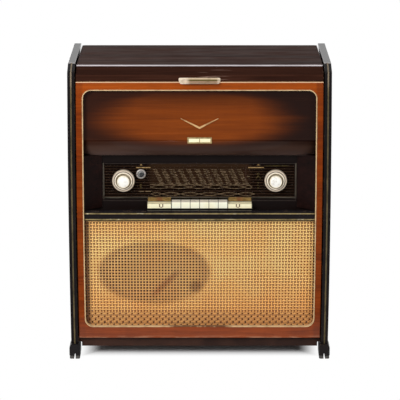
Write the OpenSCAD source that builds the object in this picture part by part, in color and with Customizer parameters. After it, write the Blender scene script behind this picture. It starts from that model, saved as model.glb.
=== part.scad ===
// Console radiogram: a record changer under a hinged lid, over a radio with a dial, keys and a loudspeaker.
// Seen from the front, +X is to the right, -Y is the front and +Z is up. The origin is on the floor,
// under the middle of the cabinet. Every front piece follows one bow, an arc of bow_r seen from the side.

/* [Cabinet] */
// Width over the side panels
cab_w = 660; // [650:2:800]
// Height to the top of the side panels
cab_h = 766; // [740:1:930]
// Depth from the foremost point of the bow to the back edges of the sides
cab_d = 368; // [364:2:460]
// Thickness of a side panel
side_t = 18; // [14:0.2:24]
// Radius of the bow that the front follows
bow_r = 2000; // [1800:50:4000]
// Height of the foremost point of the bow
bow_z = 450; // [400:10:500]
// Thickness of the shelves and of the bottom board
board_t = 12; // [10:1:16]
// Gap between a side panel and what stands between the side panels
reveal = 3.2; // [2:0.2:6]

/* [Top edge of the sides and the lid] */
// How far the top edge of a side slopes forward from its ridge
ridge_run = 45; // [30:1:60]
// How far it drops over that run
ridge_drop = 16; // [10:1:22]
// Rounding of the nose
nose_r = 8; // [4:1:12]
// How far the lid lies under the top of the sides
lid_sink = 5; // [3:1:8]
// Height of the lid, skirt included
lid_h = 33; // [28:1:40]
// Thickness of the lid's top and front
lid_t = 14; // [10:1:16]
// Angle that the lid opens to
lid_open = 70; // [50:5:80]

/* [Feet] */
// Height of a shoe with its glide
foot_h = 38; // [30:1:50]
// Width of a shoe
foot_w = 28; // [24:1:36]
// Length of a shoe
foot_l = 60; // [40:5:80]
// Height of the glide under a shoe
glide_h = 9; // [5:1:12]

/* [Front frame] */
// Inset of the frame's face behind the front edges of the sides
frame_a = 5; // [3:1:10]
// Thickness of the frame
frame_t = 16; // [12:1:20]
// Height of the frame below its opening
frame_low = 30.3; // [24:0.5:40]
// Height of the frame above its opening
frame_high = 16.9; // [12:0.1:24]
// Width of the frame beside its opening
frame_side = 14.9; // [10:0.1:24]
// Corner radius of the opening
open_r = 22; // [12:1:30]
// Width of the gilt bead
bead_w = 2.4; // [2:0.2:6]

/* [Dial, keys and knobs] */
// Height of the divider rail's underside above the floor
rail_z = 372; // [360:2:400]
// Height of the divider rail
rail_h = 21; // [18:1:26]
// Depth of the divider rail
rail_d = 24; // [18:1:30]
// Width of the dial glass
glass_w = 492; // [440:2:520]
// Height of the dial glass
glass_h = 93; // [80:1:100]
// Thickness of the dial glass
glass_t = 4; // [3:0.5:5]
// Distance of a double knob from the middle
knob_x = 193.2; // [180:1:210]
// Radius of the outer ring of a double knob
ring_r = 28.6; // [24:0.2:32]
// Radius of the inner knob
knob_r = 16; // [12:0.5:17]
// Radius of the white cap on the inner knob
cap_r = 13.1; // [10:0.1:14]
// Radius of the magic eye's bezel
eye_r = 12.4; // [10:0.2:14]
// Pitch of the narrow keys
key_pitch = 23.7; // [20:0.1:28.5]
// Number of narrow keys
key_count = 6; // [4:1:6]
// Width of a wide tone key
tone_w = 59.4; // [40:0.2:64]
// Gap between keys
key_gap = 0.7; // [0.5:0.1:1.5]
// Height of a narrow key's front
key_h = 16; // [12:0.5:18]
// How far a key turns down about its axle, in degrees
key_travel = 4; // [2:0.5:5]
// Travel of the dial pointer
pointer_travel = 235; // [150:5:250]

/* [Loudspeaker] */
// Half the length of the oval opening
oval_a = 141; // [110:1:170]
// Half the height of the oval opening
oval_b = 86; // [70:1:104]
// Distance of its middle from the middle of the cabinet
oval_x = -115.6; // [-125:1:0]
// Height of its middle above the floor
oval_z = 229; // [210:1:240]
// Depth of the loudspeaker behind the baffle
speaker_d = 92; // [70:1:120]

/* [Record changer] */
// Radius of the platter
platter_r = 127; // [100:0.2:153]
// Distance of the spindle from the middle of the cabinet
spindle_x = -25; // [-40:1:0]
// Radius of the spindle, to suit the hole of a record
spindle_r = 3.55; // [3.5:0.01:3.6]
// Distance from the arm's pivot to its stylus
arm_l = 200; // [180:1:230]

/* [Fits] */
// Radial clearance of a shaft that turns in a bush
run_fit = 0.05; // [0.02:0.01:0.1]
// Gap between pieces of different moving groups
move_gap = 0.3; // [0.2:0.1:0.6]
// Gap round a board that slides into place
seat_gap = 0.2; // [0.1:0.1:0.4]

/* [Hidden] */
$fn = 64;
bow_fn = 256;
far = 3000;
hair = 0.002;

// Cabinet
hinge_r = 3.8;
hinge_back = 0.4;
front_y = -(cab_d + 2 * hinge_r + hinge_back) / 2;
rear_y = front_y + cab_d;
side_x = cab_w / 2 - side_t;
inner_x = side_x - seat_gap;
strip_x = side_x + side_t / 2;
bow_cy = front_y + bow_r;
groove_w = 3.6;
groove_d = 2.6;
floor_t = 16;
floor_top = foot_h + floor_t;
floor_y = front_y + 62;
shelf_top = rail_z + board_t;
lid_top = cab_h - lid_sink;
lid_z = lid_top - lid_h;
lid_x = side_x - reveal;

// Feet and plinth
foot_shoulder = 10;
foot_ahead = 9;
front_foot_y = bow_y(foot_h) - foot_ahead + foot_l / 2;
rear_foot_y = rear_y - foot_l / 2;
notch_w = 4;
notch_h = glide_h + 4;
plinth_h = 11;
plinth_d = 18;
plinth_x = strip_x - foot_w / 2 - 3.5;

// Back, with its screws, slots and cord hole
back_t = 4;
back_y = rear_y - 2 * back_t;
board_rear_y = back_y - seat_gap;
screw_r = 2;
screw_head_r = 4;
screw_x = [-290, -145, 0, 145, 290];
screw_z = [foot_h + 8, rail_z + board_t / 2, cab_h - 132];
slot_w = 6;
slot_h = 70;
slot_pitch = 28;
slot_half = 7;
slot_z = [110, 225, 470];
cord_r = 6;
cord_z = shelf_top + 18;

// Nose of the sides and of the lid
side_slope = atan2(ridge_drop, ridge_run);
side_ridge_y = bow_y(cab_h - ridge_drop) + ridge_run;
lid_a = 4;
lid_drop = 18;
lid_slope = atan2(lid_drop, side_ridge_y - bow_y(lid_top - lid_drop, lid_a));
lid_ridge_r = 4;
lid_nose_r = 2;
lid_corner_r = 8;
skirt_t = 12;

// Handle of the lid
handle_w = 104;
handle_h = 13.5;
handle_top_r = 2.5;
handle_low_r = 8;
scoop_r = 2.4;
scoop_d = 1.3;
handle_t = 3;
handle_z = lid_z - 5.5;
lip_t = 2.2;
lip_out = 12;

// Rear rail and the hinges of the lid
rear_rail_h = 27.6;
rear_rail_t = 24;
rear_rail_z = lid_z - 0.4 - rear_rail_h;
rebate_h = 20;
hinge_pin_r = 1.8;
hinge_l = 60;
knuckle_l = 20;
hinge_x = 200;
hinge_y = rear_y + hinge_r + hinge_back;
leaf_t = 1.5;
leaf_h = 22;
leaf_start = 4.6;

// Lid stay, an arm with a slot: its rivet and the fixed stud lie equally far from the hinge
stay_arm = 58;
stay_closed = 18;
stay_low = -14;
stay_t = 2.5;
stay_w = 14;
stay_pin_r = 2.5;
stay_pin_l = 5;
stay_clear = 3;
stud_r = 3;
stud_head_r = 6;
stay_high = stay_low + stay_closed;
rivet = [hinge_y - stay_arm * cos(stay_high), lid_z + stay_arm * sin(stay_high)];
stud = [hinge_y - stay_arm * cos(stay_low), lid_z + stay_arm * sin(stay_low)];
stay_near = norm(stud - rivet);
stay_far = 2 * stay_arm * sin((stay_closed + lid_open) / 2);
stay_angle = atan2(stud[1] - rivet[1], stud[0] - rivet[0]);
stay_x = -lid_x + skirt_t + stay_clear;

// Front frame and what it holds
frame_z = floor_top;
strip_h = 3.2;
strip_gap = 1.8;
frame_top = lid_z - strip_gap - strip_h;
open_w = 2 * (lid_x - frame_side);
open_h = frame_top - frame_z - frame_low - frame_high;
open_z = frame_z + frame_low + open_h / 2;
bead_proud = 1.2;
bead_d = 11;
panel_a = frame_a + frame_t + seat_gap;
panel_t = 12;
panel_top = frame_top - 5;
cloth_t = 1;
cloth_x = lid_x - 8;
cloth_z = frame_z + frame_low - 8;
baffle_a = panel_a + cloth_t + seat_gap;
baffle_t = 14;
baffle_back = baffle_a + baffle_t;

// Recess: surround, glass, backplate and roll of the panel above
surround_y = front_y + 66;
surround_t = 7;
glass_z = rail_z + 44;
glass_y = surround_y + 1;
glass_top = glass_z + glass_h;
recess_top = glass_top + 25.6;
roll_r = 36;
roll_z = recess_top + roll_r;
roll_reach = bow_r - panel_a - roll_r;
roll_angle = asin((roll_z - bow_z) / roll_reach);
roll_y = bow_cy - roll_reach * cos(roll_angle);
cheek_x = lid_x - 10;
cheek_y = bow_y(recess_top, frame_a + frame_t) + 1;
backplate_y = glass_y + 15;
backplate_t = 2;
front_plate_y = backplate_y + backplate_t + 0.3;

// Divider rail
rail_a = 12;
rail_x = open_w / 2 - bead_w - 0.3;
rail_y = bow_y(rail_z + rail_h / 2, rail_a);
rail_back_y = rail_y + rail_d;
rail_top = rail_z + rail_h;
step_h = 2;
step_y = rail_y + 8;

// Trim of the upper panel
chevron_z = roll_z + 34.8;
chevron_w = 47;
chevron_rise = 26.3;
chevron_t = 2.5;
plate_w = 61.6;
plate_h = 16;
plate_z = roll_z + 5.8;
plate_y = bow_y(plate_z, panel_a);
plate_lean = asin((plate_z - bow_z) / (bow_r - panel_a));
plate_t = 2.5;
window_w = 26.5;
window_h = 9;
window_x = 14;

// Pointer of the dial, on a guide above the glass
guide_z = glass_top + 2;
guide_h = 3;
guide_d = 7;
guide_x = pointer_travel / 2 + 20;
pointer_x = pointer_travel / 2;
pointer_y = glass_y + glass_t + 2.8;
pointer_t = 0.9;
carriage_w = 16;
carriage_wall = 1.9;

// Knobs and magic eye
knob_z = glass_z + 48.6;
knob_y = glass_y - 1.5;
ring_h = 12;
groove_r = knob_r + 2.5;
shaft_r = 3;
sleeve_r = 5;
sleeve_l = 30;
bush_r = 8.5;
bush_l = 9;
eye_x = -148.7;
eye_z = glass_z + 64.5;
tube_r = eye_r - 3.8;
tube_l = 55;

// Keys
key_z = rail_top + 4.4;
key_front_y = rail_back_y + 0.5;
key_lever_h = 7;
key_boss_r = 6;
axle_y = front_y + 114;
axle_z = key_z + 6.6;
axle_r = 2;
tone_drop = 5;
keys_w = key_count * key_pitch;
tone_x = (keys_w + key_gap) / 2 + 1 + tone_w / 2;
slot_x = tone_x + tone_w / 2 + 2;
slot_low = key_z - 2 * key_gap - (axle_y - surround_y) * sin(key_travel);

// Radio chassis
sheet_t = 1.5;
chassis_x = 235;
chassis_y = front_plate_y + sheet_t;
chassis_d = 220;
chassis_top = glass_z + 14;
front_plate_top = glass_top - 4;
ear_x = slot_x + 1.5;
valve_x0 = -190;
valve_pitch = 52;
valve_y = 20;
valve_size = [[11, 78], [11, 66], [11, 66], [14, 92], [11, 70]];

// Loudspeaker, with its axis square to the flat back of the baffle
flange_w = 9;
flange_t = 3;
basket_t = 2;
rib_gap = 28;
speaker_tilt = asin((bow_z - oval_z) / (bow_r - baffle_a));
seat_reach = bow_r - baffle_back;
throat_r = 44;
throat_d = speaker_d - 30;
cone_t = 1.2;
coil_r = 19;
magnet_r = 36;

// Record changer
motor_board_z = cab_h - 138;
deck_z = motor_board_z + board_t;
motor_board_y = bow_y(deck_z, panel_a + panel_t) + seat_gap;
deck_edge = 13;
deck_w = 2 * (platter_r - spindle_x + deck_edge);
deck_d = 2 * platter_r + 16;
deck_y = round(motor_board_y + deck_d / 2 + 16);
deck_t = 3;
deck_r = 20;
deck_lap = 12;
platter_z = deck_z + 10;
platter_h = 10;
bearing_r = 8;
mat_h = 3;
mat_z = platter_z + platter_h;
record_z = mat_z + mat_h;
spindle_h = 36;
spindle_foot_r = spindle_r + 0.5;
arm_x = spindle_x + platter_r + 36;
arm_y = deck_y + 85;
arm_z = record_z + 23;
turret_r = 22;
turret_h = 12;
yoke_r = 16;
yoke_z = deck_z + deck_t + turret_h;
yoke_h = 5;
yoke_shaft_r = 5;
cheek_t = 3;
hub_w = 20;
lift_pin_r = 2;
tube_arm_r = 4.5;
lever_x = spindle_x - platter_r + 14;
lever_y = deck_y - deck_d / 2 + 23;
lever_r = 13;
lever_shaft_r = 4;

lacquer = [0.07, 0.055, 0.05];
mahogany = [0.50, 0.22, 0.10];
walnut = [0.46, 0.22, 0.08];
lid_brown = [0.13, 0.08, 0.07];
board_brown = [0.17, 0.11, 0.09];
gilt = [0.80, 0.65, 0.42];
brass = [0.85, 0.70, 0.45];
ivory = [0.98, 0.95, 0.82];
steel = [0.62, 0.62, 0.62];
plywood = [0.62, 0.47, 0.30];
bakelite = [0.16, 0.10, 0.06];

// Depth of the bow, inset by a, at height z
function bow_y(z, a = 0) = bow_cy - sqrt(pow(bow_r - a, 2) - pow(z - bow_z, 2));

// Solid of an outline in Y-Z that runs along X
module along_x(x0, x1) translate([x0, 0, 0]) rotate([90, 0, 90]) linear_extrude(x1 - x0) children();

// Solid of an outline in X-Z that runs along Y
module along_y(y0, y1) translate([0, y1, 0]) rotate([90, 0, 0]) linear_extrude(y1 - y0) children();

// Puts its child on the dial, where +Z of the child points out of the front
module on_dial(x, y, z) translate([x, y, z]) rotate([90, 0, 0]) children();

// The child and its mirror image across the middle of the cabinet
module both_sides() {
    children();
    mirror([1, 0, 0]) children();
}

module box(x0, x1, y0, y1, z0, z1) translate([x0, y0, z0]) cube([x1 - x0, y1 - y0, z1 - z0]);

module rounded_rect(w, h, r) {
    square([w - 2 * r, h], center = true);
    square([w, h - 2 * r], center = true);
    for (x = [-1, 1], y = [-1, 1]) translate([x * (w / 2 - r), y * (h / 2 - r)]) circle(r);
}

// What rounding a corner takes away: c is the middle of its arc, u and v are the normals on its two sides.
// The arc is a hair large, so that it crosses both sides cleanly instead of grazing them.
module corner_waste(c, r, u, v) {
    reach = r + 3;
    difference() {
        polygon([c, c + reach * u, c + reach * (u + v) / (1 + u * v), c + reach * v]);
        translate(c) circle(r + hair);
    }
}

module bow_disc(a) translate([bow_cy, bow_z]) circle(bow_r - a, $fn = bow_fn);

// Strip of the bow in Y-Z, from inset a0 to inset a1 and from height z0 to height z1
module bow_band(a0, a1, z0, z1) intersection() {
    translate([front_y - 20, z0]) square([180, z1 - z0]);
    difference() {
        bow_disc(a0);
        bow_disc(a1);
    }
}

// Outline in Y-Z: level to the ridge, sloping down to a rounded nose, and then down along the bow
module nose_outline(inset, a, top, slope, nose, ridge_round, bottom, rear) {
    bow_c = [bow_cy, bow_z];
    up = [-sin(slope), cos(slope)];
    down = [-cos(slope), -sin(slope)];
    ridge = [side_ridge_y, top];
    ridge_c = ridge + [ridge_round * tan(slope / 2), -ridge_round];
    start = ridge - nose * up - bow_c;
    run = -start * down + sqrt(pow(start * down, 2) - start * start + pow(bow_r - a - nose, 2));
    nose_c = bow_c + start + run * down;
    difference() {
        intersection() {
            translate([front_y - 20, bottom]) square([rear - front_y + 20, top - inset - bottom]);
            bow_disc(a + inset);
            translate(ridge) rotate(slope) translate([-far, -far - inset]) square([2 * far, far]);
        }
        if (nose > inset) corner_waste(nose_c, nose - inset, up, (nose_c - bow_c) / norm(nose_c - bow_c));
        if (ridge_round > inset) corner_waste(ridge_c, ridge_round - inset, [0, 1], up);
    }
}

// ---- Case ----

module side_outline(inset) nose_outline(inset, 0, cab_h, side_slope, nose_r, 2, foot_h, rear_y);

// The front edge of a side, between two depths below its surface
module edge_band(d0, d1) intersection() {
    difference() {
        side_outline(d0);
        side_outline(d1);
    }
    translate([front_y - 20, foot_h]) square([side_ridge_y - front_y + 20, cab_h]);
}

module side_panel() difference() {
    along_x(side_x, cab_w / 2) side_outline(0);
    along_x(strip_x - groove_w / 2, strip_x + groove_w / 2) edge_band(-1, groove_d);
}

module side_panel_left() color(lacquer) mirror([1, 0, 0]) side_panel();

module side_panel_right() color(lacquer) side_panel();

module edge_strips() color(gilt) both_sides()
    along_x(strip_x - groove_w / 2 + 0.1, strip_x + groove_w / 2 - 0.1) edge_band(0.2, groove_d);

// Puts its child at each corner, on the floor under the middle of a shoe
module at_feet() for (x = [-1, 1], y = [front_foot_y, rear_foot_y])
    translate([x * strip_x, y, 0]) children();

module feet() color(lacquer) at_feet() difference() {
    intersection() {
        along_y(-foot_l / 2, foot_l / 2) polygon([
            [-foot_w / 2, glide_h], [foot_w / 2, glide_h], [foot_w / 2, foot_h - foot_shoulder],
            [side_t / 2 + 1, foot_h], [-side_t / 2 - 1, foot_h], [-foot_w / 2, foot_h - foot_shoulder]]);
        linear_extrude(foot_h) rounded_rect(foot_w, foot_l, 6);
    }
    along_y(-foot_l, foot_l) {
        translate([-notch_w / 2, 0]) square([notch_w, notch_h]);
        translate([0, notch_h]) circle(notch_w / 2);
    }
}

module glide_pads() color([0.36, 0.35, 0.33]) at_feet() linear_extrude(glide_h) difference() {
    rounded_rect(foot_w - 2, foot_l - 4, 5);
    translate([-notch_w / 2, -foot_l]) square([notch_w, 1.4 * foot_l]);
}

module bottom_board() color(board_brown) {
    box(-inner_x, inner_x, floor_y, board_rear_y, foot_h, floor_top);
    box(-plinth_x, plinth_x, floor_y, floor_y + plinth_d, foot_h - plinth_h, foot_h);
}

module chassis_shelf() color(plywood)
    box(-inner_x, inner_x, rail_back_y, board_rear_y, rail_z, shelf_top);

module motor_board() color(plywood) difference() {
    box(-inner_x, inner_x, motor_board_y, board_rear_y, motor_board_z, deck_z);
    translate([0, deck_y, motor_board_z - 1]) linear_extrude(board_t + 2)
        rounded_rect(deck_w - 2 * deck_lap, deck_d - 2 * deck_lap, deck_r);
}

module rear_rail() color(plywood) along_x(-inner_x, inner_x) {
    translate([rear_y - rear_rail_t, rear_rail_z]) square([rear_rail_t, rear_rail_h]);
    translate([rear_y - rear_rail_t, rear_rail_z - rebate_h])
        square([board_rear_y - rear_y + rear_rail_t, rebate_h + 1]);
}

// Puts its child at each screw of the back, where +Z of the child points out of the back
module at_back_screws() for (x = screw_x, z = screw_z)
    translate([x, back_y + back_t, z]) rotate([-90, 0, 0]) children();

module back_panel() color([0.33, 0.22, 0.14]) difference() {
    box(-inner_x, inner_x, back_y, back_y + back_t, foot_h + 1, rear_rail_z - seat_gap);
    for (i = [-slot_half:slot_half], z = slot_z)
        translate([i * slot_pitch, 0, z]) along_y(back_y - 1, rear_y)
        rounded_rect(slot_w, slot_h, slot_w / 2 - 0.1);
    translate([0, 0, cord_z]) along_y(back_y - 1, rear_y) circle(cord_r);
    at_back_screws() translate([0, 0, -back_t - 1]) cylinder(h = back_t + 2, r = screw_r + seat_gap);
}

module back_screws() color(brass) at_back_screws() difference() {
    union() {
        translate([0, 0, -back_t]) cylinder(h = back_t + 1, r = screw_r);
        cylinder(h = 2, r1 = screw_head_r, r2 = screw_head_r - 1);
    }
    box(-0.5, 0.5, -screw_head_r, screw_head_r, 1.2, 3);
}

// ---- Front ----

// Passes its child, an outline in X-Z, through the whole front
module through_front() along_y(front_y - 30, front_y + 150) children();

module front_frame() color(mahogany) difference() {
    along_x(-lid_x, lid_x) bow_band(frame_a, frame_a + frame_t, frame_z, frame_top);
    through_front() translate([0, open_z]) rounded_rect(open_w, open_h, open_r);
}

module aperture_bead() color(gilt) intersection() {
    along_x(-lid_x, lid_x) bow_band(frame_a - bead_proud, frame_a + bead_d, frame_z, frame_top);
    through_front() translate([0, open_z]) difference() {
        rounded_rect(open_w, open_h, open_r);
        rounded_rect(open_w - 2 * bead_w, open_h - 2 * bead_w, open_r - bead_w);
    }
}

module top_strip() color(brass)
    along_x(-lid_x, lid_x) bow_band(lid_a + 0.5, frame_a + frame_t, frame_top, frame_top + strip_h);

// Half of the Y-Z plane above the line where the bow runs into the roll
module above_roll() translate([roll_y, roll_z]) rotate(-roll_angle)
    translate([-far, 0]) square([2 * far, far]);

// The board follows the bow down to the roll, turns back through it and ends against the surround
module upper_panel() color(walnut) along_x(-inner_x, inner_x) {
    intersection() {
        bow_band(panel_a, panel_a + panel_t, roll_z - 10, panel_top);
        above_roll();
    }
    difference() {
        translate([roll_y, roll_z]) circle(roll_r);
        translate([roll_y, roll_z]) circle(roll_r - panel_t);
        translate([roll_y, recess_top - 1]) square([2 * roll_r, 3 * roll_r]);
        above_roll();
    }
    translate([roll_y, recess_top]) square([surround_y - roll_y, panel_t]);
}

module chevron_trim() color(brass) intersection() {
    along_x(-chevron_w - 1, chevron_w + 1) bow_band(panel_a - chevron_t, panel_a, roll_z, panel_top);
    through_front() translate([0, chevron_z]) polygon([
        [0, 0], [chevron_w, chevron_rise - 0.8], [chevron_w, chevron_rise + 0.6],
        [0, 5.4], [-chevron_w, chevron_rise + 0.6], [-chevron_w, chevron_rise - 0.8]]);
}

module plate_windows() for (x = [-1, 1])
    translate([x * window_x, 0]) square([window_w, window_h], center = true);

module plate_frame() color(brass) translate([0, plate_y, plate_z]) rotate([-plate_lean, 0, 0])
    along_y(-plate_t, 0) difference() {
        rounded_rect(plate_w, plate_h, 1.5);
        plate_windows();
    }

module plate_inlays() color(ivory) translate([0, plate_y, plate_z]) rotate([-plate_lean, 0, 0])
    along_y(-plate_t + 0.7, 0) plate_windows();

module divider_rail() color(lacquer) along_x(-rail_x, rail_x) polygon([
    [rail_y, rail_z], [rail_back_y, rail_z], [rail_back_y, rail_top + step_h],
    [step_y + 1, rail_top + step_h], [step_y, rail_top], [rail_y, rail_top]]);

module rail_strips() color(gilt) for (z = [rail_z + 1.5, rail_top - 4.5])
    box(-rail_x, rail_x, rail_y - 0.8, rail_y, z, z + 2.6);

// ---- Recess ----

// Slot for the keys, as an outline in X-Z: low over the wide keys and high over the narrow ones
module key_slot() {
    translate([-slot_x, slot_low]) square([2 * slot_x, key_z + key_h - tone_drop + key_gap - slot_low]);
    translate([-keys_w / 2 - 1, slot_low]) square([keys_w + 2, key_z + key_h + key_gap - slot_low]);
}

module dial_surround() color(lacquer) along_y(surround_y, surround_y + surround_t) difference() {
    translate([-inner_x, shelf_top]) square([2 * inner_x, recess_top + panel_t - shelf_top]);
    translate([-glass_w / 2 - seat_gap, glass_z - seat_gap])
        square([glass_w + 2 * seat_gap, glass_h + 2 * seat_gap]);
    key_slot();
}

module recess_cheeks() color(lacquer) both_sides() translate([0, 0, rail_top + step_h])
    linear_extrude(recess_top - rail_top - step_h) polygon([
        [glass_w / 2 + 1.5, surround_y], [inner_x, surround_y], [inner_x, cheek_y],
        [cheek_x, cheek_y], [glass_w / 2 + 1.5, surround_y - 3]]);

// Holes for the sleeves of the knobs and for the magic eye, in a sheet behind the surround
module dial_holes(knob_hole, eye_hole) {
    for (x = [-1, 1]) translate([x * knob_x, knob_z]) circle(knob_hole);
    translate([eye_x, eye_z]) circle(eye_hole);
}

module dial_glass() color([0.12, 0.08, 0.05]) along_y(glass_y, glass_y + glass_t) difference() {
    translate([-glass_w / 2, glass_z]) square([glass_w, glass_h]);
    dial_holes(sleeve_r + 2, eye_r - 1.2);
}

module dial_backplate() color(bakelite) {
    along_y(backplate_y, backplate_y + backplate_t) difference() {
        translate([-glass_w / 2 + 3, glass_z + 2]) square([glass_w - 6, glass_h + 4]);
        dial_holes(sleeve_r + 2, tube_r + 1);
    }
    box(-guide_x, guide_x, backplate_y - guide_d, backplate_y, guide_z, guide_z + guide_h);
}

// The pointer hangs from a carriage that is hooked over the guide
module dial_pointer() color([0.90, 0.80, 0.60]) difference() {
    union() {
        box(pointer_x - 0.8, pointer_x + 0.8, pointer_y, pointer_y + pointer_t, glass_z + 8, guide_z);
        box(pointer_x - carriage_w / 2, pointer_x + carriage_w / 2, pointer_y, backplate_y - 1,
            guide_z - move_gap - carriage_wall, guide_z + guide_h + move_gap + carriage_wall);
    }
    box(pointer_x - carriage_w, pointer_x + carriage_w, backplate_y - guide_d - move_gap, backplate_y,
        guide_z - move_gap, guide_z + guide_h + move_gap);
}

module eye_bezel() color([0.66, 0.66, 0.68]) on_dial(eye_x, glass_y, eye_z) rotate_extrude() {
    translate([tube_r + 0.2, -glass_t - 1]) square([eye_r - 1.6 - tube_r, glass_t + 1]);
    translate([tube_r + 0.2, 0]) square([eye_r - 2.2 - tube_r, 2]);
    translate([eye_r - 2, 0]) intersection() {
        circle(2);
        square(3);
    }
}

module eye_tube() color([0.25, 0.32, 0.38]) on_dial(eye_x, glass_y, eye_z) {
    translate([0, 0, -tube_l]) cylinder(h = tube_l, r = tube_r);
    intersection() {
        translate([0, 0, 1.6 - 2 * tube_r]) sphere(2 * tube_r);
        cylinder(h = 4, r = tube_r);
    }
}

// Outer ring of a double knob, with the sleeve that turns in the bush behind the glass
module knob_ring() rotate_extrude() {
    bore = shaft_r + run_fit;
    translate([bore, -sleeve_l]) square([sleeve_r - bore, sleeve_l + 1]);
    difference() {
        polygon([
            [bore, 0], [ring_r - 1, 0], [ring_r, 1.2], [ring_r, ring_h - 4], [ring_r - 1.4, ring_h - 2.6],
            [ring_r - 4.4, ring_h - 2.2], [ring_r - 4.8, ring_h - 3.6], [ring_r - 5.6, ring_h - 3.6],
            [ring_r - 6, ring_h - 1], [ring_r - 7, ring_h], [groove_r + 1, ring_h],
            [groove_r, ring_h - 1.4], [groove_r, 4], [bore, 4]]);
        corner_waste([ring_r - 3, ring_h - 5.2], 3, [1, 0], [0, 1]);
    }
}

// Inner knob, with its domed cap in front and its shaft through the sleeve
module inner_knob() {
    translate([0, 0, -sleeve_l - 8]) cylinder(h = sleeve_l + 14, r = shaft_r);
    rotate_extrude() {
        translate([0, 4.6]) square([knob_r - 1, 8]);
        translate([0, 6]) square([knob_r, ring_h + 2]);
        translate([0, ring_h + 8]) square([knob_r - 1.4, 1.4]);
        translate([knob_r - 1.4, ring_h + 8]) intersection() {
            circle(1.4);
            square(2);
        }
    }
    intersection() {
        translate([0, 0, ring_h + 11.4 - 3 * cap_r]) sphere(3 * cap_r);
        translate([0, 0, ring_h + 7]) cylinder(h = 8, r = cap_r);
    }
}

module balance_ring() color(gilt) on_dial(-knob_x, knob_y, knob_z) knob_ring();

module tuning_ring() color(gilt) on_dial(knob_x, knob_y, knob_z) knob_ring();

module volume_knob() color(ivory) on_dial(-knob_x, knob_y, knob_z) inner_knob();

module tuning_knob() color(ivory) on_dial(knob_x, knob_y, knob_z) inner_knob();

// ---- Keys ----

// A key from the side: the ivory head in front, and a lever back to the boss on the axle
module key_outline(h) difference() {
    union() {
        difference() {
            translate([key_front_y, key_z]) square([surround_y + surround_t + 4 - key_front_y, h]);
            corner_waste([key_front_y + 3, key_z + h - 3], 3, [-1, 0], [0, 1]);
            corner_waste([key_front_y + 1, key_z + 1], 1, [0, -1], [-1, 0]);
        }
        translate([surround_y + surround_t, axle_z - key_lever_h / 2])
            square([axle_y - surround_y - surround_t, key_lever_h]);
        translate([axle_y, axle_z]) circle(key_boss_r);
    }
    translate([axle_y, axle_z]) circle(axle_r + run_fit);
}

module key(x, w, h) color(ivory) along_x(x - w / 2, x + w / 2) key_outline(h);

module narrow_key(i) if (i <= key_count)
    key((i - (key_count + 1) / 2) * key_pitch, key_pitch - key_gap, key_h);

module key_1() narrow_key(1);

module key_2() narrow_key(2);

module key_3() narrow_key(3);

module key_4() narrow_key(4);

module key_5() narrow_key(5);

module key_6() narrow_key(6);

module tone_key_left() key(-tone_x, tone_w, key_h - tone_drop);

module tone_key_right() key(tone_x, tone_w, key_h - tone_drop);

module key_axle() color(steel) along_x(-ear_x - 4, ear_x + 4) translate([axle_y, axle_z]) circle(axle_r);

// ---- Radio ----

// The folded chassis, its front plate with the two bushes, and the ears of the key axle
module radio_chassis() color(steel) difference() {
    union() {
        difference() {
            box(-chassis_x, chassis_x, chassis_y, chassis_y + chassis_d, shelf_top, chassis_top);
            box(-chassis_x + sheet_t, chassis_x - sheet_t, chassis_y - 1, chassis_y + chassis_d - sheet_t,
                shelf_top - 1, chassis_top - sheet_t);
        }
        along_y(front_plate_y, chassis_y) difference() {
            translate([-glass_w / 2, shelf_top]) square([glass_w, front_plate_top - shelf_top]);
            key_slot();
        }
        both_sides() {
            on_dial(knob_x, chassis_y + bush_l, knob_z) cylinder(h = bush_l, r = bush_r);
            box(ear_x, ear_x + 2, axle_y - 12, axle_y + 12, axle_z - 8, chassis_top);
        }
    }
    both_sides() {
        on_dial(knob_x, chassis_y + bush_l + 1, knob_z) cylinder(h = bush_l + 5, r = sleeve_r + run_fit);
        along_x(ear_x - 1, ear_x + 3) translate([axle_y, axle_z]) circle(axle_r + run_fit);
    }
    on_dial(eye_x, chassis_y + 1, eye_z) cylinder(h = 5, r = tube_r + 1);
    on_dial(0, chassis_y + chassis_d + 1, cord_z) cylinder(h = 5, r = cord_r);
}

// A valve: its socket and its glass envelope with a domed top
module valve(r, h) rotate_extrude() {
    square([r + 2, 10]);
    square([r, h - r]);
    translate([0, h - r]) intersection() {
        circle(r);
        square(r + 1);
    }
}

module valves() color([0.75, 0.78, 0.80]) for (i = [0:len(valve_size) - 1])
    translate([valve_x0 + i * valve_pitch, valve_y, chassis_top]) valve(valve_size[i][0], valve_size[i][1]);

// A transformer: the laminated core round its coil, on four feet
module transformer(w, d, h) {
    box(-w / 2, w / 2, -d / 2, d / 2, 4, h);
    box(-w / 2 + 8, w / 2 - 8, -d / 2 - 12, d / 2 + 12, 12, h - 10);
    for (x = [-1, 1], y = [-1, 1]) translate([x * (w / 2 - 5), y * (d / 2 - 5), 0]) cylinder(h = 5, r = 4);
}

module transformers() color([0.30, 0.28, 0.26]) {
    translate([165, 60, chassis_top]) transformer(78, 40, 66);
    translate([85, 70, chassis_top]) transformer(50, 26, 44);
}

// ---- Loudspeaker ----

// Ellipse with half-axes oval_a and oval_b, grown by d
module oval(d) polygon([
    for (i = [1:$fn]) [(oval_a + d) * cos(360 * i / $fn), (oval_b + d) * sin(360 * i / $fn)]]);

// Puts its child on the flat back of the baffle, where +Z of the child points backwards along the axis
module at_speaker()
    translate([oval_x, bow_cy - seat_reach * cos(speaker_tilt), bow_z - seat_reach * sin(speaker_tilt)])
    rotate([speaker_tilt - 90, 0, 0]) children();

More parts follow.
